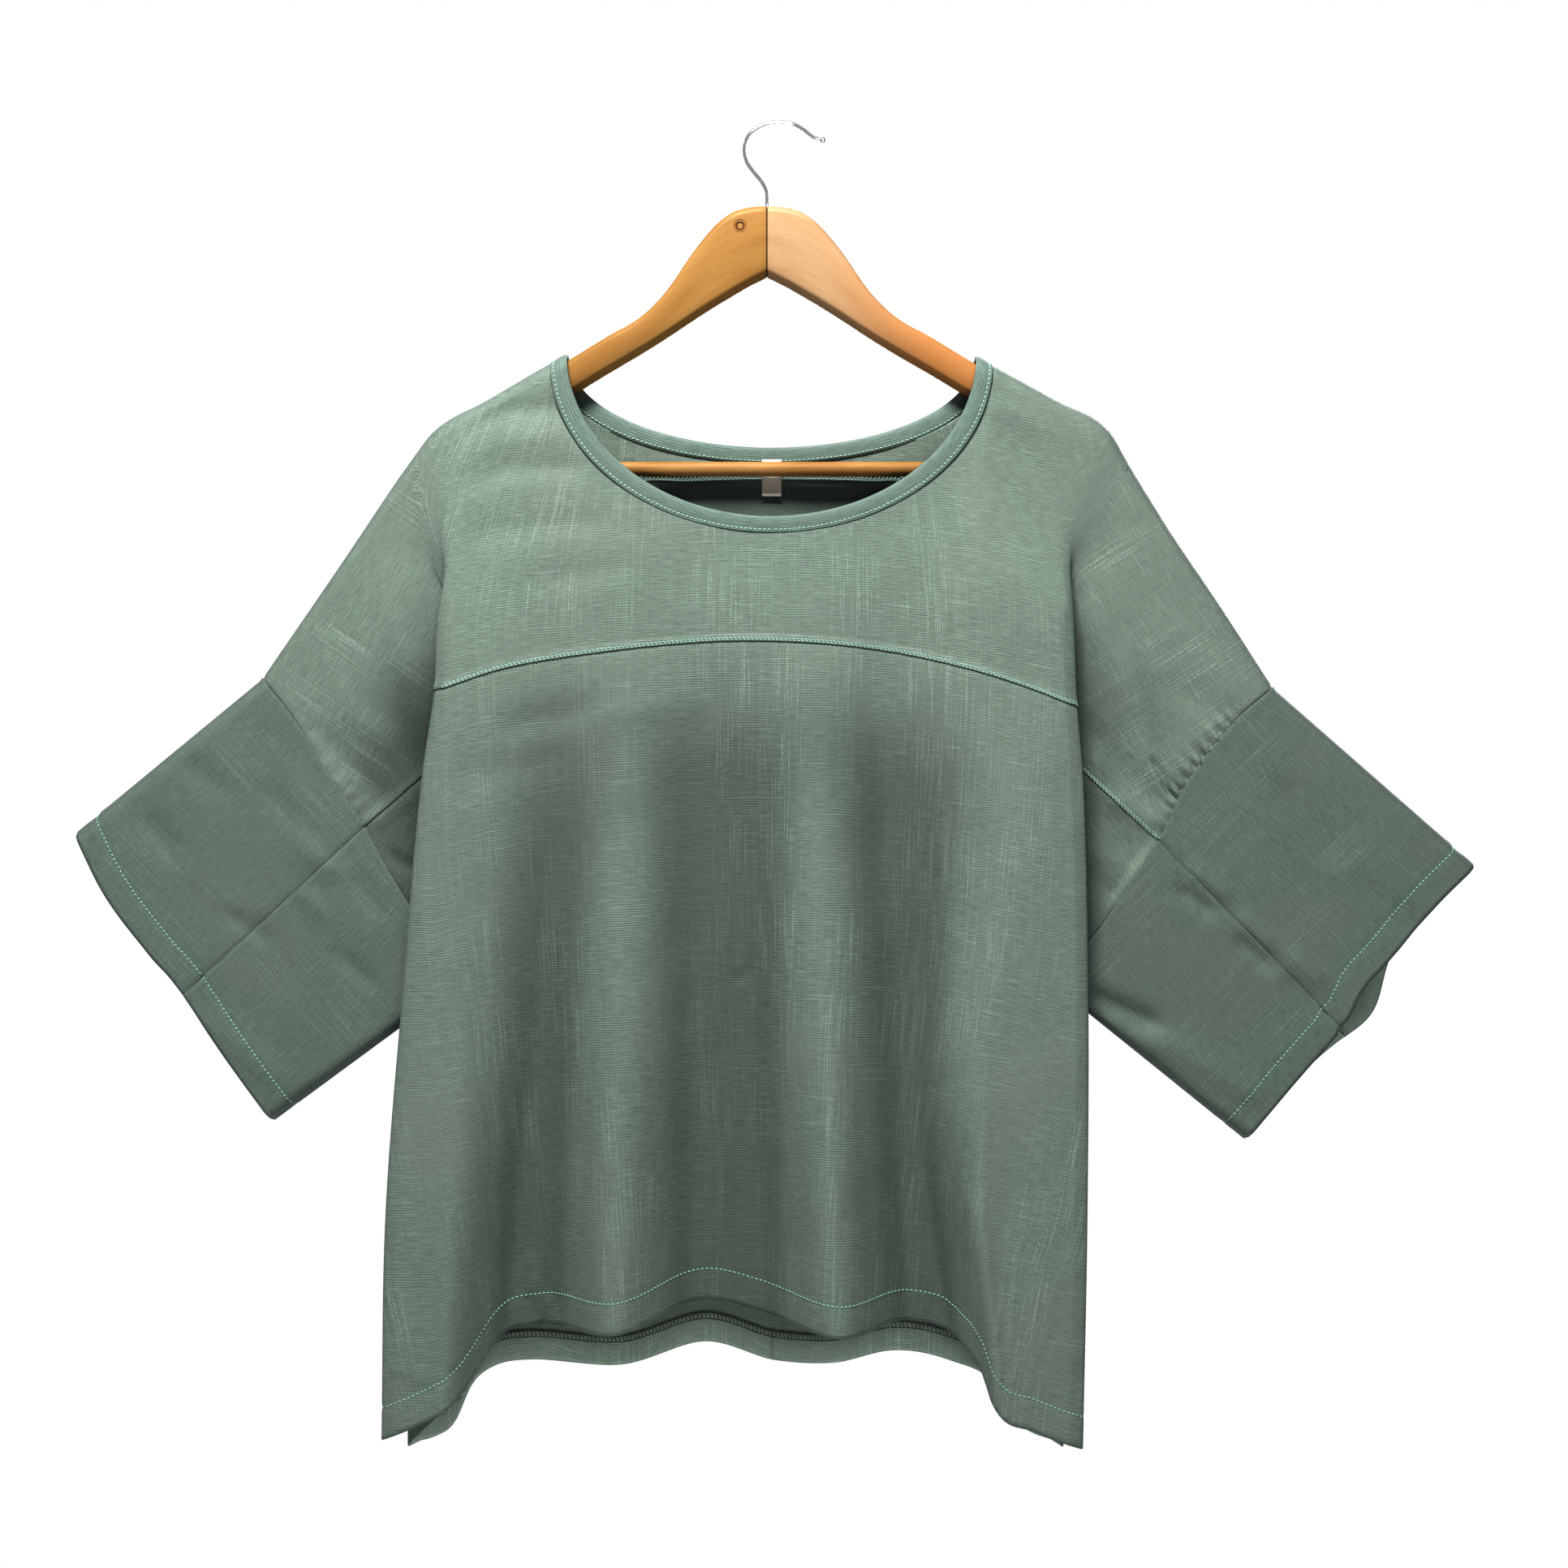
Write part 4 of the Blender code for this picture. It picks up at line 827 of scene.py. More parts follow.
def hang(side, face, levels, steps):
    """One half of the front or the back over a range of levels, with its creases."""
    seed = SEEDS[face]
    shares = panel_shares(side)
    sheet = Sheet(side, face)
    points = sheet.rows(levels, shares, steps)
    step = np.concatenate([np.zeros(len(shares)), steps])[:, None]
    x, z = points[..., 0], points[..., 2]
    on_panel, on_sleeve = ease(AT_FOLD, 0, step), ease(*SLEEVE_CREASE_STEPS, step)
    rise = on_panel * (creases(x, z, CREASES[face]) + unevenness(x, z, seed))
    to_cuff = ease(*CUFF_CALM, distance_from(points, 0, True)) if steps[-1] > AT_TUCK else 1
    folds = creases(x, z, SLEEVE_CREASES[side, face]) * SLEEVE_CREASE_RISE
    rise += on_sleeve * to_cuff * (folds + unevenness(x, z, seed + 1))
    rise *= ease(*RIDGE_CALM, distance_to_line(x, z, upper_fold(side)))
    points[..., 1] += sheet.outwards * rise
    soften_shoulder(points, levels, len(shares))
    shade = shade_of(sheet, points, levels, step)
    threads = np.concatenate([threads_of(sheet, points, step), shade[..., None]], -1)
    return Layer(points, threads, sheet.out * sheet.outwards)


def soften_shoulder(points, levels, edge_column):
    """Lets the fold beside the body begin gently below the shoulder."""
    levels = np.asarray(levels)
    part = ease(0, SOFT_START, levels) * ease(SOFT_LEVELS[1], SOFT_LEVELS[0], levels)
    if not part.any():
        return
    region = slice(edge_column - SOFT_COLUMNS, len(points))
    blurred = points[region].copy()
    for _ in range(SOFT_PASSES):
        blurred[1:-1] = (blurred[:-2] + 2 * blurred[1:-1] + blurred[2:]) / 4
    points[region] += (blurred - points[region]) * part[:, None]


def shade_of(sheet, points, levels, step):
    """Painted shade: how much darker the cloth's colour is made in the valleys of the folds and on the sleeve
    beside the body.
    """
    levels = np.asarray(levels)
    middle = read_table(sheet.middle, levels)[..., 0]
    out = (points[..., 1] - middle) * sheet.outwards
    valley = VALLEY_SHADE * ease(VALLEY_REACH, 0, out) * ease(*VALLEY_LEVELS, levels)
    beside = distance_from(points, 0, False)
    edge = beside[np.searchsorted(step[:, 0], AT_TUCK)]
    reach, most = SLEEVE_SHADES[sheet.side]
    sleeve = most * ease(reach, 0, beside - edge) * ease(*SLEEVE_SHADE_LEVELS, levels)
    at_fold = valley[step[:, 0] <= AT_FOLD][-1]
    return np.where(step <= AT_FOLD, valley, np.where(step >= AT_TUCK, sleeve, at_fold))


def threads_of(sheet, points, step):
    """Where each point lies in the flat cloth: along the weft and down the warp, in mm."""
    x, z = points[..., 0], points[..., 2]
    droop = (read_table(FRONT_SEAM, x)[..., 0] - read_table(FRONT_SEAM, NECK_X)[0]) / 2
    across = distance_from(points, 0, False) * sheet.out
    start, end = (np.array(row[:2], float) for row in (RIDGE[sheet.side][-3], RIDGE[sheet.side][-1]))
    along = (end - start) / np.linalg.norm(end - start)
    offset = np.stack([x, z], -1) - start
    sleeve_across = sheet.out * (SLEEVE_THREADS_FROM + offset @ along)
    sleeve_down = start[1] - np.abs(offset @ np.array([-along[1], along[0]]))
    on_sleeve = ease(AT_FOLD, AT_TUCK, step)
    return np.stack([across + (sleeve_across - across) * on_sleeve,
                     z - droop + (sleeve_down - z + droop) * on_sleeve], -1)


def pucker(layer, side, levels):
    """Gathers the yoke's cloth where it meets the cuff seam."""
    away = distance_from(layer.points, 0, True)
    levels = levels[None, :]
    width = distance_from(layer.points, 1, False)[-1, -1]
    total = np.zeros(layer.points.shape[:2])
    for where, level, half_width, depth in PUCKERS:
        if where == side:
            off = (levels - level) * width / half_width
            ridge, groove = np.exp(-(off - PUCKER_RIDGE_AT) ** 2), np.exp(-off ** 2)
            total += depth * (PUCKER_RIDGE * ridge - PUCKER_GROOVE * groove)
    fade = np.exp(-(away / PUCKER_LENGTH) ** PUCKER_FADE)
    layer.lift(total * PUCKER_RISE * fade * ease(0, PUCKER_EDGE, away))


def join_halves(left, right):
    """One line across the garment from the lines that run out from its middle."""
    return np.concatenate([left[::-1], right])


def make_yoke(finish):
    """The yoke, the pairs of lines for the stitches along both its edges and the pair inside the back."""
    layers, lines = [], {}
    for side in SIDES:
        for face in FACES:
            layer = hang(side, face, YOKE_LEVELS[face], np.array(FOLD_STEPS + FLAP_STEPS))
            pucker(layer, side, YOKE_LEVELS[face])
            layer.lap(1, True)
            layer.groove(1, True, YOKE_STITCHES[1], YOKE_GROOVE)
            layer.sink(0, True, UNDERLAP_SINK, CUFF_REACH)
            layers.append(layer)
            lines[side, face] = [layer.line(1, True, distance, CLOTH / 2)[:SHOWN_STITCHES[side]]
                                 for distance in YOKE_STITCHES]
        lines[side, "inside"] = [layer.line(1, True, distance, -CLOTH / 2)[:SHOWN_STITCHES["left"]]
                                 for distance in INSIDE_STITCHES]
    made = cloth_object("yoke_cloth", layers, finish)
    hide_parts("yoke")
    front, back, inside = ([join_halves(*rows) for rows in zip(lines["left", where], lines["right", where])]
                           for where in FACES + ("inside",))
    return made, [front, back], inside


def make_body(name, face, finish, inside_finish):
    """The front or back below the yoke, the line of its hem stitches and a pair of lines inside its hem."""
    layers, lines, inside = [], [], []
    for side in SIDES:
        panel = hang(side, face, BODY_LEVELS, np.array(FOLD_STEPS))
        flap = hang(side, face, FLAP_LEVELS, np.array(FOLD_STEPS + FLAP_STEPS))
        first = PANEL_SHARES + SHOULDER_SHARES + len(FOLD_STEPS)
        flap = Layer(flap.points[first:], flap.threads[first:], flap.turn)
        flap.points[:, -1] = flap.points[0, -1]     # the flap narrows to the underarm point
        for layer in (panel, flap):
            tucked = np.zeros(layer.points.shape[:2])
            tucked[:, :len(UNDERLAP_LEVELS)] = -UNDERLAP_SINK
            tucked[:, len(UNDERLAP_LEVELS)] = -UNDERLAP_SINK / 2
            layer.lift(tucked)
        flap.sink(0, True, UNDERLAP_SINK, CUFF_REACH)
        panel.groove(1, True, HEM_DEPTH["body"], gathers=BODY_GATHERS)
        lines.append(panel.line(1, True, HEM_DEPTH["body"], CLOTH / 2))
        inside.append([panel.line(1, True, HEM_DEPTH["body"] - below, -CLOTH / 2 - HEM_LAYER)
                       for below in HEM_OVERLOCK])
        panel = panel.turn_up(1, HEM_DEPTH["body"], HEM_PAINTED_LIGHT["body"])
        layers += [panel, flap]
    made = cloth_object(name + "_cloth", layers, finish, inside=inside_finish)
    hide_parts(name)
    return made, join_halves(*lines), [join_halves(*rows) for rows in zip(*inside)]


def sleeve_threads(side, points):
    """The sleeve end's threads run along the sleeve and round it."""
    start, end = read_table(CUFF_SEAM[side], 1), read_table(SLEEVE_HEM[side], 1)
    along = (end - start) / np.linalg.norm(end - start)
    offset = points[..., ::2] - start
    turned = np.array([-along[1], along[0]])
    return np.stack([offset @ along, offset @ turned, np.zeros(offset.shape[:2])], -1)


def make_sleeve_end(side, finish, inside_finish):
    """The two panels of one sleeve end with their turned-up hems, and the lines of the hem stitches."""
    made, hems = [], []
    for part, levels in SLEEVE_LEVELS.items():
        layers = []
        for face in FACES:
            points = sleeve_rows(side, face, levels, SLEEVE_ALONG).swapaxes(0, 1)
            x, z = points[..., 0], points[..., 2]
            to_fold = [distance_to_line(x, z, fold(side)) for fold in (upper_fold, lower_fold)]
            rise = creases(x, z, CUFF_CREASES[side, face]) * CUFF_CREASE_RISE
            rise += unevenness(x, z, SEEDS["sleeve end"])
            points[..., 1] += OUTWARDS[face] * rise * ease(*SLEEVE_FOLD_CALM, np.minimum(*to_fold))
            to_seam = points[0] - points[-1]
            to_seam /= np.linalg.norm(to_seam, axis=-1, keepdims=True)
            late = np.clip(SLEEVE_ALONG, 0, 1)[:, None, None] ** HEM_DIP_POWER
            for level, half_width, depth in HEM_DIPS.get((side, face), ()):
                back = depth * np.exp(-((levels - level) / half_width) ** 2)
                points += to_seam * back[:, None] * late
            layer = Layer(points, sleeve_threads(side, points), OUT[side] * OUTWARDS[face])
            layer.lap(0, False, CUFF_LAP_RISE, CUFF_LAP_WIDTH)
            layer.sink(1, part == "upper", MID_SEAM_SINK)
            layer.groove(0, True, HEM_DEPTH["sleeve"], gathers=SLEEVE_GATHERS[side])
            hems.append(layer.line(0, True, HEM_DEPTH["sleeve"], CLOTH / 2))
            layers.append(layer.turn_up(0, HEM_DEPTH["sleeve"], HEM_PAINTED_LIGHT["sleeve"]))
        name = f"sleeve_{part}_{side}"
        piece = cloth_object(name + "_cloth", layers, finish, inside=inside_finish)
        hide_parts(name)
        made.append(piece)
    return made, hems


# ---------------------------------------------------------------- neck binding and label

def neck_points(face, side, angles, inset):
    """A line round a quarter of the neck, from its middle to its side, inset from the binding's sewn edge."""
    angles = np.radians(angles)
    half_width = NECK_HALF_WIDTH - inset
    side_z = ridge_at(side, NECK_X + OUT[side] * half_width)[0]
    x = NECK_X + OUT[side] * half_width * np.sin(angles)
    z = side_z + (NECK_BOTTOM[face] + inset - side_z) * np.cos(angles)
    y = np.full(len(x), read_table(MIDDLE[face], 0.0)[0])
    return bend_over(np.stack([x, y, z], -1), upper_fold(side), ridge_at(side, x)[..., 1])


def neck_ring(insets):
    """Stations all round the neck by insets: points and the way out of the cloth."""
    quarters = (("front", "left", 1), ("back", "left", -1), ("back", "right", 1), ("front", "right", -1))
    stations = []
    for face, side, order in quarters:
        angles = NECK_STATIONS[::order]
        rows = np.stack([neck_points(face, side, angles, inset) for inset in insets], 1)
        stations.append(rows[:-1])
    ring = np.concatenate(stations)
    around = np.concatenate([ring[-1:], ring, ring[:1]])
    normal = -np.cross(np.gradient(around, axis=0), np.gradient(around, axis=1))[1:-1]
    return ring, normal / np.linalg.norm(normal, axis=-1, keepdims=True)


def make_binding(finish):
    """The folded strip round the neck, and the lines of its stitches outside and inside."""
    insets = np.array([up for up, _ in BINDING_SECTION])
    levels = sorted(set(insets.tolist()))
    ring, normal = neck_ring(levels)
    section = [ring[:, levels.index(up)] + normal[:, levels.index(up)] * out for up, out in BINDING_SECTION]
    points = np.stack(section + section[:1], 1)
    around = np.concatenate([[0], np.cumsum(np.linalg.norm(np.diff(points[:, 0], axis=0), axis=-1))])
    threads = np.stack(np.broadcast_arrays(around[:, None], np.append(insets, insets[0])[None, :]), -1)
    work = bmesh.new()
    add_grid(work, points, threads, closed=True)
    bmesh.ops.remove_doubles(work, verts=work.verts, dist=WELD * MM)
    made = add_object("neck_binding_cloth", work, finish)
    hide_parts("neck_binding")
    stitched, out = neck_ring([BINDING_STITCH_AT + beside for beside in (-0.5, 0, 0.5)])
    rows = [np.stack([stitched[:, 1] + out[:, 1] * rise, out[:, 1] * math.copysign(1, rise)], 1)
            for rise in BINDING_STITCH_RISES]
    return made, [np.concatenate([row, row[:1]]) for row in rows]


def make_label(finish):
    """A bare woven tab that hangs from the back of the binding."""
    across = np.linspace(-0.5, 0.5, LABEL_COLUMNS)
    across, down = np.meshgrid(across, np.linspace(0, LABEL_LENGTH, LABEL_ROWS), indexing="ij")
    x, z = NECK_X + across * LABEL_WIDTH, NECK_BOTTOM["back"] + LABEL_TOP - down
    curl = LABEL_BOW * np.cos(across * LABEL_BOW_ANGLE) - LABEL_CURL * (down / LABEL_CURL_LENGTH) ** 2
    y = read_table(MIDDLE["back"], 0.0)[0] - LABEL_DEPTH + curl
    tape = Layer(np.stack([x, y, z], -1), np.stack([x, z], -1), 1)
    made = cloth_object("size_label_tape", [tape], finish, LABEL_THICKNESS)
    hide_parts("size_label")
    return made


# ---------------------------------------------------------------- the hanger

def make_arm(side, finish):
    """One flat wooden arm with well rounded edges."""
    joint, tip, length = np.array(ARM_JOINT_END), np.array(ARM_TIP), ARM_PROFILE[-1][0]
    plain = np.linspace(ARM_PLAIN[0], length - ARM_PLAIN[1], ARM_STATIONS)
    run = np.concatenate([joint[:, 0], plain, length - tip[:, 0]])
    inset = np.concatenate([joint[:, 1], np.zeros(ARM_STATIONS), tip[:, 1]])
    top, bottom = read_table(ARM_PROFILE, run).T
    turns = np.arange(ARM_SIDES) * 2 * math.pi / ARM_SIDES
    to_back, to_top = np.cos(turns), np.sin(turns)
    under = (to_back < -ARM_BELOW) & (to_top < -ARM_BELOW)
    straight = np.where(under, np.abs(to_back) + np.abs(to_top), 1)
    points = []
    for x, high, low, less in zip(run, top, bottom, inset):
        half_y, half_z = ARM_THICKNESS / 2 - less, (high - low) / 2 - less
        most = min(half_y, half_z) - ARM_LEAST_FLAT
        cut = np.where(under, min(ARM_CHAMFER, most), min(ARM_ROUND, most))
        y = np.clip(to_back * ARM_FLAT, -1, 1) * (half_y - cut) + to_back / straight * cut
        z = np.clip(to_top * ARM_FLAT, -1, 1) * (half_z - cut) + to_top / straight * cut
        place = ARM_JOINT_X + OUT[side] * x * ARM_STRETCH[side]
        points.append(np.stack([np.full(ARM_SIDES, place), y, (high + low) / 2 + z], -1))
    points = np.array(points)
    threads = arm_grain(points, run, (top + bottom) / 2)
    work = bmesh.new()
    add_grid(work, np.concatenate([points, points[:, :1]], 1), np.concatenate([threads, threads[:, :1]], 1))
    bmesh.ops.remove_doubles(work, verts=work.verts, dist=WELD * MM)
    for end in (0, -1):
        ring = [vert for vert in work.verts if abs(vert.co.x - points[end, 0, 0] * MM) < WELD * MM]
        bmesh.ops.contextual_create(work, geom=ring)
    made = add_object(f"hanger_{side}_wood", work, finish)
    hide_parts(f"hanger_arm_{side}")
    return made


def arm_grain(points, run, middle):
    """The wood's grain runs along each arm, which was bent or cut to follow it."""
    along = np.broadcast_to(run[:, None], points.shape[:2])
    across = points[..., 2] - GRAIN_FOLLOWS * middle[:, None] + points[..., 1] * GRAIN_TURNS
    return np.stack([along, across], -1)


def make_plug(finish):
    """The round wooden plug that closes the screw hole in the left arm."""
    x, z, radius = PLUG
    share, proud = np.array(PLUG_RINGS).T
    turns = np.linspace(0, 2 * math.pi, ROUND_SIDES + 1)[:, None]
    x, z = x + radius * share * np.cos(turns), z + radius * share * np.sin(turns)
    points = np.stack(np.broadcast_arrays(x, -ARM_THICKNESS / 2 - proud, z), -1)
    work = bmesh.new()
    add_grid(work, points, points[..., ::2] * (-1, 1))
    bmesh.ops.remove_doubles(work, verts=work.verts, dist=WELD * MM)
    return add_object("hanger_plug_wood", work, finish)


def make_bar(finish):
    """The turned bar that the blouse's shoulders close over."""
    turns = np.linspace(0, 2 * math.pi, ROUND_SIDES + 1)[None, :]
    x = ARM_JOINT_X + np.linspace(-BAR_HALF_LENGTH, BAR_HALF_LENGTH, BAR_STATIONS)[:, None]
    radius = BAR_RADIUS * (1 + waves(x, BAR_UNEVEN[0]) * waves(x, BAR_UNEVEN[1]))
    points = np.broadcast_arrays(x, radius * np.cos(turns), BAR_Z + radius * np.sin(turns))
    work = bmesh.new()
    add_grid(work, np.stack(points, -1), np.stack(np.broadcast_arrays(x, turns * BAR_RADIUS), -1))
    bmesh.ops.remove_doubles(work, verts=work.verts, dist=WELD * MM)
    bmesh.ops.holes_fill(work, edges=work.edges)
    made = add_object("hanger_bar_wood", work, finish)
    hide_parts("hanger_bar")
    return made


def tube(work, route, radii):
    """A round wire that follows a route in the plane of the hanger."""
    heading = np.gradient(route, axis=0)
    heading /= np.linalg.norm(heading, axis=-1, keepdims=True)
    across = np.stack([-heading[:, 1], heading[:, 0]], -1)
    points = []
    for turn in np.linspace(0, 2 * math.pi, WIRE_SIDES + 1):
        xz = route + across * (radii * math.cos(turn))[:, None]
        points.append(np.stack([xz[:, 0], radii * math.sin(turn), xz[:, 1]], -1))
    points = np.stack(points, 1)
    add_grid(work, points, np.zeros(points.shape[:2] + (2,)))


def make_hook(finish):
    """The wire hook with its ball end."""
    rows = np.array(HOOK_ROUTE, float)
    bend, stem = rows[:-1], rows[-1]
    places = np.linspace(0, len(bend) - 1, (len(bend) - 1) * HOOK_STATIONS + 1)
    wire = np.vstack([smooth(np.arange(len(bend)), bend, places)[HOOK_IN_BALL:], stem])
    outwards = (bend[0] - wire[0]) / np.linalg.norm(bend[0] - wire[0])
    ball = bend[0] + BALL_RADIUS * np.cos(BALL_ARC)[:, None] * outwards
    radii = np.concatenate([BALL_RADIUS * np.sin(BALL_ARC), np.full(len(wire), WIRE_RADIUS)])
    work = bmesh.new()
    tube(work, np.vstack([ball, wire]), radii)
    bmesh.ops.remove_doubles(work, verts=work.verts, dist=WELD * MM)
    bmesh.ops.holes_fill(work, edges=work.edges)
    made = add_object("hanger_hook_wire", work, finish)
    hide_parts("hanger_hook")
    return made


# ---------------------------------------------------------------- finishes

class Value:
    """One socket of a shader, so that shader maths is written as Python expressions."""

    def __init__(self, paint, socket):
        self.paint, self.socket = paint, socket

    def math(self, operation, *others):
        """A Math node on this value and others."""
        return self.paint.node("Math", {"operation": operation}, dict(enumerate((self,) + others)))

    def __add__(self, other):
        return self.math("ADD", other)

    def __mul__(self, other):
        return self.math("MULTIPLY", other)

    def __sub__(self, other):
        return self.math("SUBTRACT", other)

    def __rsub__(self, other):
        return (self * -1) + other

    def __truediv__(self, other):
        return self.math("DIVIDE", other)

    __radd__ = __add__
    __rmul__ = __mul__

    def between(self, low, high):
        """0 below the low value, 1 above the high one and a soft step between."""
        settings = {"interpolation_type": "SMOOTHSTEP"}
        return self.paint.node("MapRange", settings, {0: self, 1: low, 2: high})

    def wave(self):
        """A smooth wave from 0 to 1 that repeats with every whole number."""
        return (self * (2 * math.pi)).math("SINE") * 0.5 + 0.5


class Paint:
    """A material with its nodes."""

    def __init__(self, name, roughness, **uniform):
        self.material = bpy.data.materials.new(name)
        self.material.use_nodes = True
        self.tree = self.material.node_tree
        self.shader = self.tree.nodes["Principled BSDF"]
        self.feed("Roughness", roughness)
        for key, value in uniform.items():
            self.feed(key.replace("_", " ").title().replace("Ior", "IOR"), value)

    def feed(self, name, value, node=None):
        """Sets a socket of the shader, or of another node, to a number or links it to a value."""
        socket = (node or self.shader).inputs[name]
        if isinstance(value, Value):
            self.tree.links.new(value.socket, socket)
        else:
            socket.default_value = value

    def node(self, kind, settings=None, values=None, out=0):
        """Adds a node: its settings first, then its sockets' values or links."""
        made = self.tree.nodes.new("ShaderNode" + kind)
        for name, value in (settings or {}).items():
            setattr(made, name, value)
        for name, value in (values or {}).items():
            self.feed(name, value, made)
        return Value(self, made.outputs[out])

    def threads(self):
        """Where the surface lies along and across its threads or grain, in mm, and its painted shade, which
        below 0 is painted light.
        """
        where = self.node("Attribute", {"attribute_name": "threads"}, out=1)
        split = self.node("SeparateXYZ", None, {0: where}).socket.node
        return [Value(self, output) for output in split.outputs]

    def noise(self, x, y, detail=1.0, roughness=0.5):
        """Soft lumps about 1 across, so that a place given as mm * 0.1 has lumps of 10 mm.

        A number added to a place moves it to a part of the noise that nothing else uses.
        """
        place = self.node("CombineXYZ", None, {0: x, 1: y})
        values = {"Vector": place, "Scale": 1.0, "Detail": detail, "Roughness": roughness}
        return self.node("TexNoise", {"noise_dimensions": "2D"}, values)

    def speckle(self, scale, detail=2.0):
        """Fine noise through a solid piece, for one that has no threads or grain."""
        where = self.node("TexCoord", out=3)
        return self.node("TexNoise", None, {"Vector": where, "Scale": scale, "Detail": detail})

    def mix(self, factor, first, second):
        """A colour between two others."""
        settings = {"data_type": "RGBA"}
        colours = [value if isinstance(value, Value) else value + (1,) for value in (first, second)]
        return self.node("Mix", settings, {0: factor, 6: colours[0], 7: colours[1]}, out=2)

    def scaled(self, colour, share):
        """A colour made darker or paler by a share."""
        return self.node("VectorMath", {"operation": "SCALE"}, {"Vector": colour, "Scale": share})

    def bump(self, height, strength, distance_mm):
        """Raises the surface by a height from 0 to 1, over a distance in mm."""
        values = {"Height": height, "Strength": strength, "Distance": distance_mm * MM}
        self.feed("Normal", self.node("Bump", None, values))


def linear(red, green, blue):
    """A colour given as a screen shows it, from 0 to 255, in the shader's linear values."""
    return tuple(((c / 255 + 0.055) / 1.055) ** 2.4 for c in (red, green, blue))


def darkened(colour, share):
    """The share of a colour that is left when it is darkened."""
    return tuple(c * share for c in colour)


RIB_PITCH = 1.5             # mm between the heavier weft threads
UNLIT_ABOVE = (-770.0, -660.0)  # heights between which the blouse's inside is painted dark, as painted shade
INSIDE_PAINTED_SHADE = 0.62           # how dark that painted shade is
LABEL_RIB = 0.5             # mm between the ribs of the size label
# Screen colours of the cloths: light yarn, dark yarn, the greyer patches and the slubs
CLOTH_TONES = {
    "cloth": ((136, 149, 140), (98, 109, 101), (121, 128, 121), (168, 180, 172)),
    # The two inside tones are the same cloth painted paler, as painted light on the insides of the blouse and
    # sleeve ends
    "cloth inside": ((178, 196, 184), (140, 156, 146), (164, 176, 166), (196, 210, 200)),
    "cuff inside": ((168, 186, 175), (132, 148, 138), (152, 164, 155), (186, 200, 190)),
    "cuff cloth": ((122, 135, 127), (90, 101, 94), (108, 116, 109), (152, 165, 157)),
    "binding cloth": ((134, 150, 142), (94, 109, 102), (116, 126, 119), (150, 166, 158)),
}


def cloth_paint(name, slubby=1.0, dim=0.0):
    """Plain weave of uneven yarn: weft ribs, brighter slubs both ways and broad shifts of tone, with painted
    shade and light.
    """
    light, dark, grey, slub = (linear(*tone) for tone in CLOTH_TONES[name])
    paint = Paint(name, 0.62, sheen_weight=0.1, sheen_roughness=0.4, specular_ior_level=0.22)
    across, down, shade = paint.threads()
    # Weft ribs, straight in some places and uneven in others, single picks and the fibre of the yarn
    drift = paint.noise(across * 0.02, down * 0.06) * 1.6
    heavy = paint.noise(across * 0.025 + 5.1, down * 0.04).between(0.2, 0.75)
    rib = ((down / RIB_PITCH + drift).wave() - 0.5) * heavy + 0.5
    pick = paint.noise(across * 0.11, down * 1.35, 1.0, 0.6)
    yarn = paint.noise(across * 1.2, down * 1.5, 2.0, 0.8)
    # Slubs: thick stretches of warp that stand in clusters, and long ones of weft
    cluster = paint.noise(across * 0.022 + 3.1, down * 0.003).between(0.42, 0.62)
    line = paint.noise(across * 1.15, down * 0.018, 1.0).between(0.5, 0.75)
    dashes = paint.noise(across * 1.1 + 9.7, down * 0.6).between(0.25, 0.7)
    warp_slub = line * dashes * (cluster * 0.75 + 0.25)
    weft_slub = paint.noise(across * 0.022 + 1.7, down * 1.15).between(0.64, 0.8)
    slubs = (warp_slub * 0.8 + weft_slub * 0.36).math("MINIMUM", 1.0) * slubby
    grain = pick * 0.32 + rib * 0.3 + yarn * 0.38
    greyer = paint.noise(across * 0.013 + 7.3, down * 0.009 + 2.1, 2.0).between(0.4, 0.68)
    cloth = paint.mix(grain.between(0.28, 0.82), dark, light)
    cloth = paint.mix(greyer * 0.3, cloth, grey)
    cloth = paint.mix(slubs * 0.6, cloth, slub)
    # Painted shade in the folds' valleys, on the sleeves beside the body and high inside; below 0 it is
    # painted light, on the hems' inner layers
    lit = 1 - shade - down.between(*UNLIT_ABOVE) * dim
    paint.feed("Base Color", paint.scaled(cloth, lit))
    paint.bump(rib * 0.5 + pick * 0.3 + yarn * 0.35 + slubs * 0.3, 0.4, 0.3)
    return paint.material


def thread_paint(name, *colour):
    """Twisted sewing thread."""
    paint = Paint(name, 0.55, sheen_weight=0.3, specular_ior_level=0.35)
    colour = linear(*colour)
    paint.feed("Base Color", paint.mix(paint.speckle(900.0, 1.0), darkened(colour, 0.7), colour))
    return paint.material


# Screen colours of the hanger's woods: light grain, dark grain
WOOD_TONES = {
    "golden wood": ((162, 131, 82), (146, 112, 64)),
    "pale wood": ((176, 152, 124), (162, 134, 102)),
    "bar wood": ((164, 132, 86), (142, 106, 60)),
    "plug wood": ((134, 92, 50), (84, 52, 28)),
}
FAR_TONE = (166, 124, 80)   # the pale arm deepens to this towards its tip
FAR_FROM = (25.0, 110.0)    # between these distances from the joint
JOINT_LINE = (0.2, 0.7)     # the arms' dark joint line fades between these


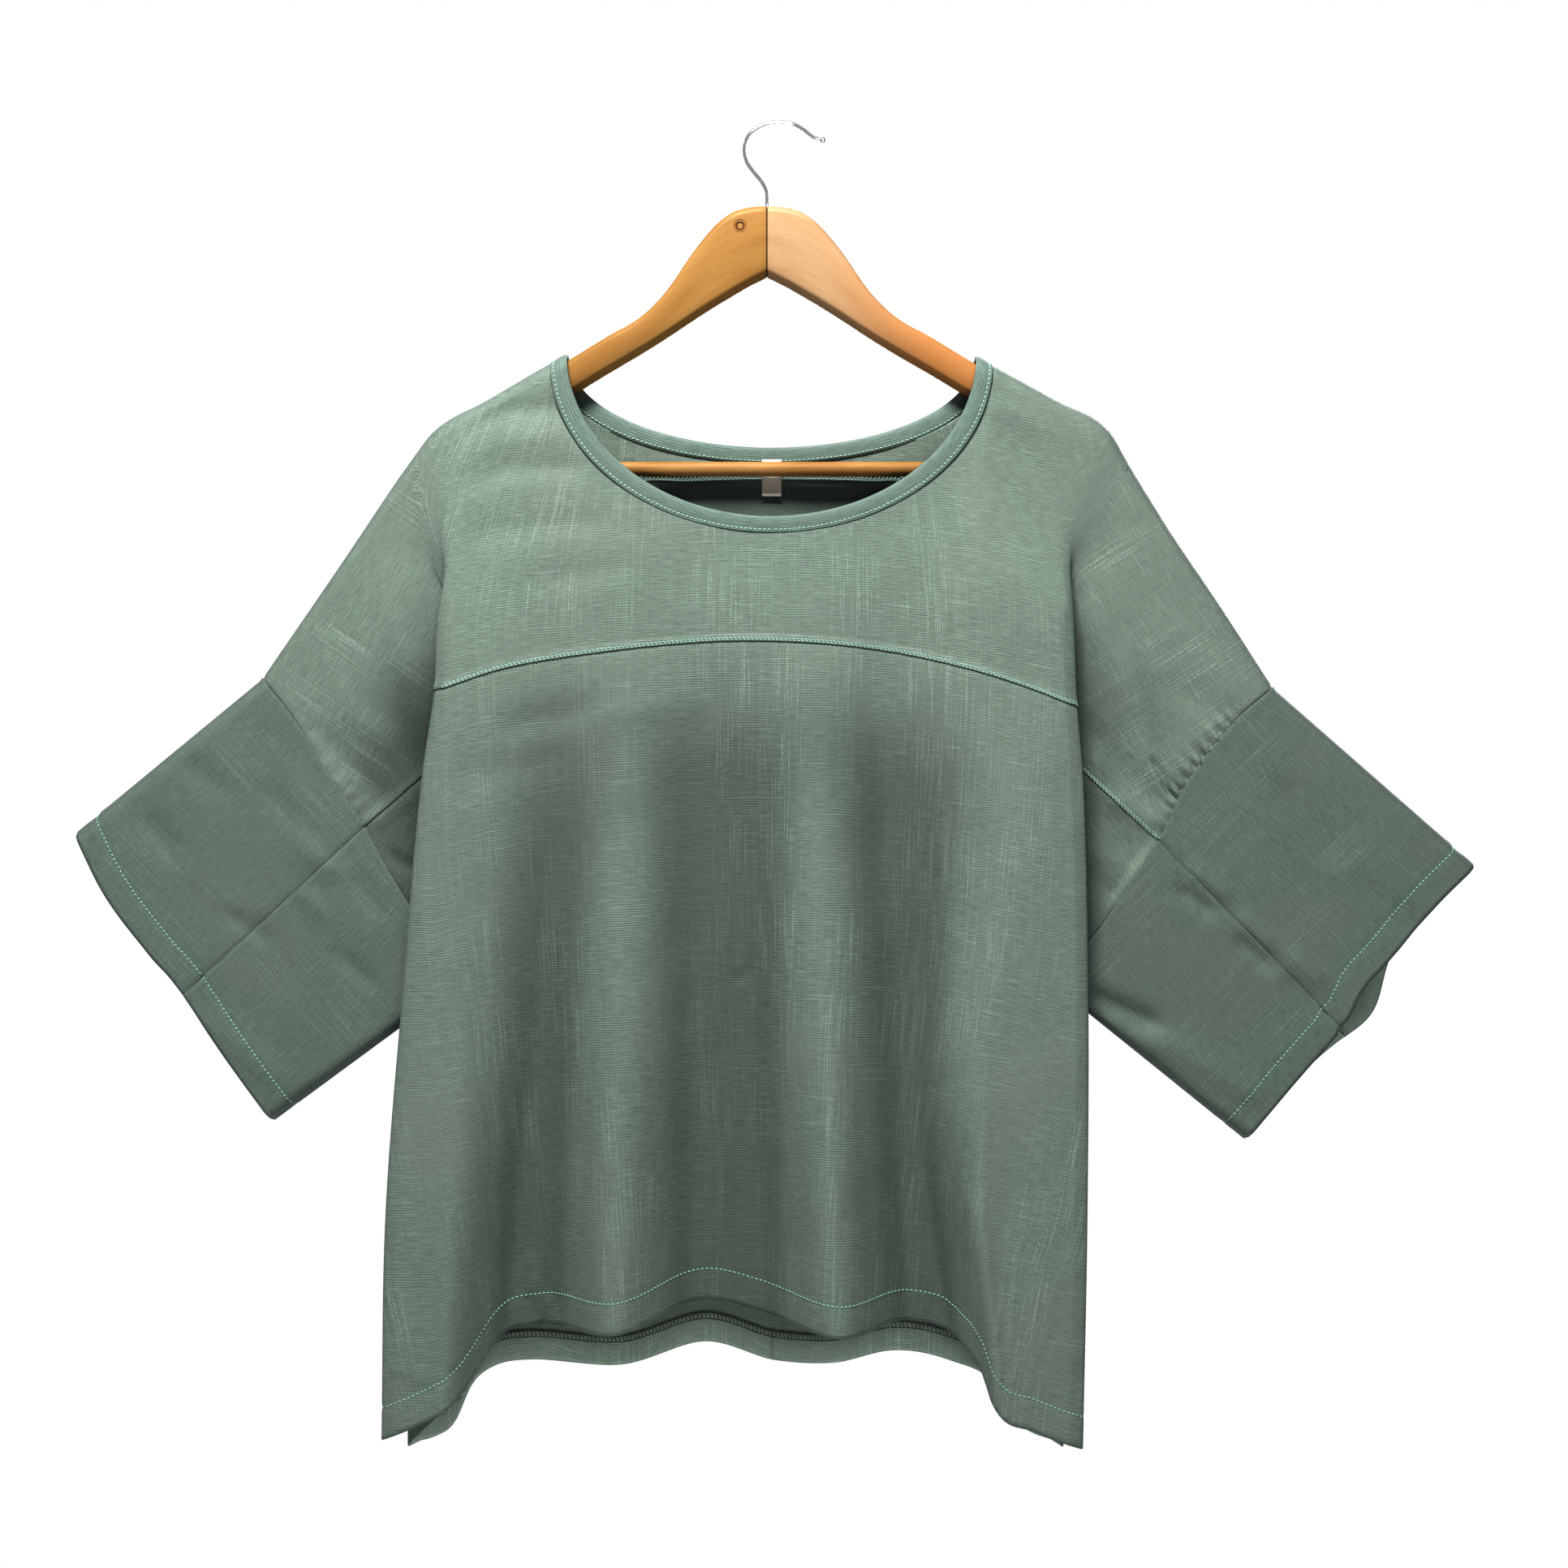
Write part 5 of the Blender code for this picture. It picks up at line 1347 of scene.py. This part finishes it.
def wood_paint(name, coat=0.1, joint=False, far=None):
    """Straight-grained beech: faint streaks along the piece, soft bands and short flecks, lacquered."""
    light, dark = (linear(*tone) for tone in WOOD_TONES[name])
    paint = Paint(name, 0.55, coat_weight=coat, coat_roughness=0.35, specular_ior_level=0.2)
    along, across, _ = paint.threads()
    bands = paint.noise(along * 0.012, across * 0.06 + along * 0.006, 2.0)
    streaks = paint.noise(along * 0.05, across * 1.1, 3.0, 0.6)
    flecks = paint.noise(along * 0.25, across * 2.2).between(0.64, 0.8)
    wood = paint.mix((bands * 0.7 + streaks * 0.3).between(0.25, 0.75), dark, light)
    wood = paint.mix(flecks * 0.2, wood, darkened(dark, 0.62))
    if far:
        wood = paint.mix(along.between(*FAR_FROM), wood, linear(*far))
    if joint:
        wood = paint.mix((1 - along.between(*JOINT_LINE)) * 0.65, wood, darkened(dark, 0.1))
    paint.feed("Base Color", wood)
    paint.bump(streaks + flecks * -0.6, 0.08, 0.2)
    return paint.material


def chrome_paint(name):
    """Bright metal with a faint haze."""
    paint = Paint(name, 0.14, metallic=1.0)
    haze = paint.speckle(220.0)
    paint.feed("Base Color", paint.mix(haze, (0.58, 0.59, 0.61), (0.74, 0.75, 0.77)))
    paint.feed("Roughness", haze * 0.12 + 0.08)
    return paint.material


def label_paint(name):
    """Finely ribbed tape."""
    paint = Paint(name, 0.5, sheen_weight=0.2)
    ribs = (paint.threads()[1] / LABEL_RIB).wave()
    paint.feed("Base Color", paint.mix(ribs, (0.54, 0.51, 0.46), (0.74, 0.70, 0.64)))
    paint.bump(ribs, 0.2, 0.1)
    return paint.material


def floor_paint(name):
    """Plain pale floor."""
    paint = Paint(name, 0.9)
    paint.feed("Base Color", paint.mix(paint.speckle(1.2), (0.80, 0.80, 0.79), (0.84, 0.84, 0.83)))
    return paint.material


# ---------------------------------------------------------------- stage, light and camera

CAMERA_AT = (2.1, -1500.0, -430.9)
VIEW_WIDTH = 1024.0         # mm across the picture at the hanger's plane
SENSOR_MM = 36.0
FLOOR_Z = -1250.0
FLOOR_RADIUS = 700.0
FLOOR_SIDES = 96
LIGHTS = (
    # name, place in mm, size across and down in mm, power in watts
    ("key", (-230, -1050, 1150), (700, 420), 82.0),
    ("front", (300, -2300, -550), (1200, 1200), 11.0),
    ("low", (-100, -1500, -1900), (1400, 600), 15.0),
    ("back", (300, 1900, 150), (1600, 1200), 62.0),
)
STUDIO_LIGHT = 0.08         # strength of the white surroundings as light
MIRRORED_STUDIO = 0.55      # and how much of their white shows in the chrome and the lacquer
CONTRAST = 0.64             # the picture's gamma, as a product photo is finished
LIGHT_TARGET = (0, 0, -450)


def look_at(thing, place, target):
    """Puts a lamp or the camera in its place and turns it to a target."""
    thing.location = Vector(place) * MM
    heading = Vector(target) * MM - thing.location
    thing.rotation_euler = heading.to_track_quat("-Z", "Y").to_euler()


def add_stage(finish):
    """The round floor far below the blouse."""
    work = bmesh.new()
    bmesh.ops.create_circle(work, cap_ends=True, segments=FLOOR_SIDES, radius=FLOOR_RADIUS * MM)
    mesh = bpy.data.meshes.new("floor")
    work.to_mesh(mesh)
    work.free()
    mesh.materials.append(finish)
    floor = bpy.data.objects.new("floor", mesh)
    floor.location.z = FLOOR_Z * MM
    bpy.context.scene.collection.objects.link(floor)


def add_lights():
    """Four soft lamps, and white surroundings that light little and show behind the blouse."""
    for name, place, (across, down), power in LIGHTS:
        lamp = bpy.data.lights.new(name, "AREA")
        lamp.shape = "RECTANGLE"
        lamp.size, lamp.size_y = across * MM, down * MM
        lamp.energy = power
        made = bpy.data.objects.new(name, lamp)
        look_at(made, place, LIGHT_TARGET)
        bpy.context.scene.collection.objects.link(made)
    world = bpy.data.worlds.new("studio")
    world.use_nodes = True
    bpy.context.scene.world = world
    tree = world.node_tree
    soft, seen = tree.nodes["Background"], tree.nodes.new("ShaderNodeBackground")
    soft.inputs["Strength"].default_value = STUDIO_LIGHT
    for background in (soft, seen):
        background.inputs["Color"].default_value = (1, 1, 1, 1)
    mix, path = tree.nodes.new("ShaderNodeMixShader"), tree.nodes.new("ShaderNodeLightPath")
    mirrored, either = tree.nodes.new("ShaderNodeMath"), tree.nodes.new("ShaderNodeMath")
    mirrored.operation, either.operation = "MULTIPLY", "MAXIMUM"
    mirrored.inputs[1].default_value = MIRRORED_STUDIO
    tree.links.new(path.outputs["Is Glossy Ray"], mirrored.inputs[0])
    tree.links.new(path.outputs["Is Camera Ray"], either.inputs[0])
    tree.links.new(mirrored.outputs[0], either.inputs[1])
    tree.links.new(either.outputs[0], mix.inputs[0])
    tree.links.new(soft.outputs[0], mix.inputs[1])
    tree.links.new(seen.outputs[0], mix.inputs[2])
    tree.links.new(mix.outputs[0], tree.nodes["World Output"].inputs["Surface"])


def add_camera():
    """The camera looks straight at the blouse from the front."""
    lens = bpy.data.cameras.new("camera")
    lens.sensor_width = SENSOR_MM
    lens.lens = SENSOR_MM * -CAMERA_AT[1] / VIEW_WIDTH
    camera = bpy.data.objects.new("camera", lens)
    look_at(camera, CAMERA_AT, (CAMERA_AT[0], 0, CAMERA_AT[2]))
    bpy.context.scene.collection.objects.link(camera)
    bpy.context.scene.camera = camera


# ---------------------------------------------------------------- putting it together


def sew(name, finish, stitches, lines):
    """All the thread of one kind: each row runs on a line, or between a pair of them."""
    work = bmesh.new()
    for line in lines:
        stitches(work, *line)
    return add_object(name, work, finish)


def make_yoke_and_body(cloth, inside, pale_teal, teal, dark_thread):
    """The three big pieces, each with the threads that go with it."""
    yoke, yoke_lines, seam_inside = make_yoke(cloth)
    front, front_hem, _ = make_body("body_front", "front", cloth, inside)
    back, back_hem, hem_inside = make_body("body_back", "back", cloth, inside)
    yoke_stitches = sew("yoke_stitches", pale_teal, overlock_stitches, yoke_lines)
    hem_stitches = sew("hem_stitches", teal, straight_stitches, [[front_hem], [back_hem]])
    hem_overlock = sew("hem_overlock", dark_thread, overlock_stitches, [hem_inside])
    seam_overlock = sew("seam_overlock", pale_teal, overlock_stitches, [seam_inside])
    return (yoke, [yoke_stitches, seam_overlock]), (front, [hem_stitches]), (back, [hem_overlock])


def declare_cloth(garment, sleeves, cuff_stitches, strip, neck_stitches, label, arms):
    """Lists each piece with the threads sewn on it and what it hangs from; nothing reads the list."""
    (yoke, yoke_threads), *bodies = garment
    hung = [(yoke, yoke_threads, arms)]
    hung += [(piece, threads, [yoke]) for piece, threads in bodies]
    hung += [(piece, [cuff_stitches] if piece == sleeves[0] else [], [yoke]) for piece in sleeves]
    hung += [(strip, [neck_stitches], [yoke]), (label, [], [strip])]


def main():
    """The dressed blouse on its hanger, with floor, light and camera."""
    bpy.context.scene.view_settings.view_transform = "Standard"
    bpy.context.scene.view_settings.gamma = CONTRAST
    cloth = cloth_paint("cloth")
    inside = cloth_paint("cloth inside", dim=INSIDE_PAINTED_SHADE)
    cuff_inside = cloth_paint("cuff inside", slubby=0.6)
    cuff_cloth = cloth_paint("cuff cloth", slubby=0.6)
    binding = cloth_paint("binding cloth", slubby=0.4)
    pale_teal = thread_paint("pale teal thread", 166, 194, 183)
    teal = thread_paint("teal thread", 150, 194, 180)
    dark_thread = thread_paint("overlock thread", 70, 74, 64)
    golden = wood_paint("golden wood", joint=True)
    pale = wood_paint("pale wood", joint=True, far=FAR_TONE)
    bar_wood = wood_paint("bar wood", coat=0.05)

    garment = make_yoke_and_body(cloth, inside, pale_teal, teal, dark_thread)
    sleeves, sleeve_hems = [], []
    for side in SIDES:
        pieces, hems = make_sleeve_end(side, cuff_cloth, cuff_inside)
        sleeves += pieces
        sleeve_hems += hems
    cuff_stitches = sew("cuff_stitches", teal, straight_stitches, [[hem] for hem in sleeve_hems])
    strip, neck_lines = make_binding(binding)
    neck_stitches = sew("neck_stitches", pale_teal, straight_stitches, [[line] for line in neck_lines])
    label = make_label(label_paint("label tape"))
    arms = [make_arm("left", golden), make_arm("right", pale)]
    declare_cloth(garment, sleeves, cuff_stitches, strip, neck_stitches, label, arms)
    make_plug(wood_paint("plug wood"))
    make_bar(bar_wood)
    make_hook(chrome_paint("chrome wire"))

    add_stage(floor_paint("floor"))
    add_lights()
    add_camera()


main()
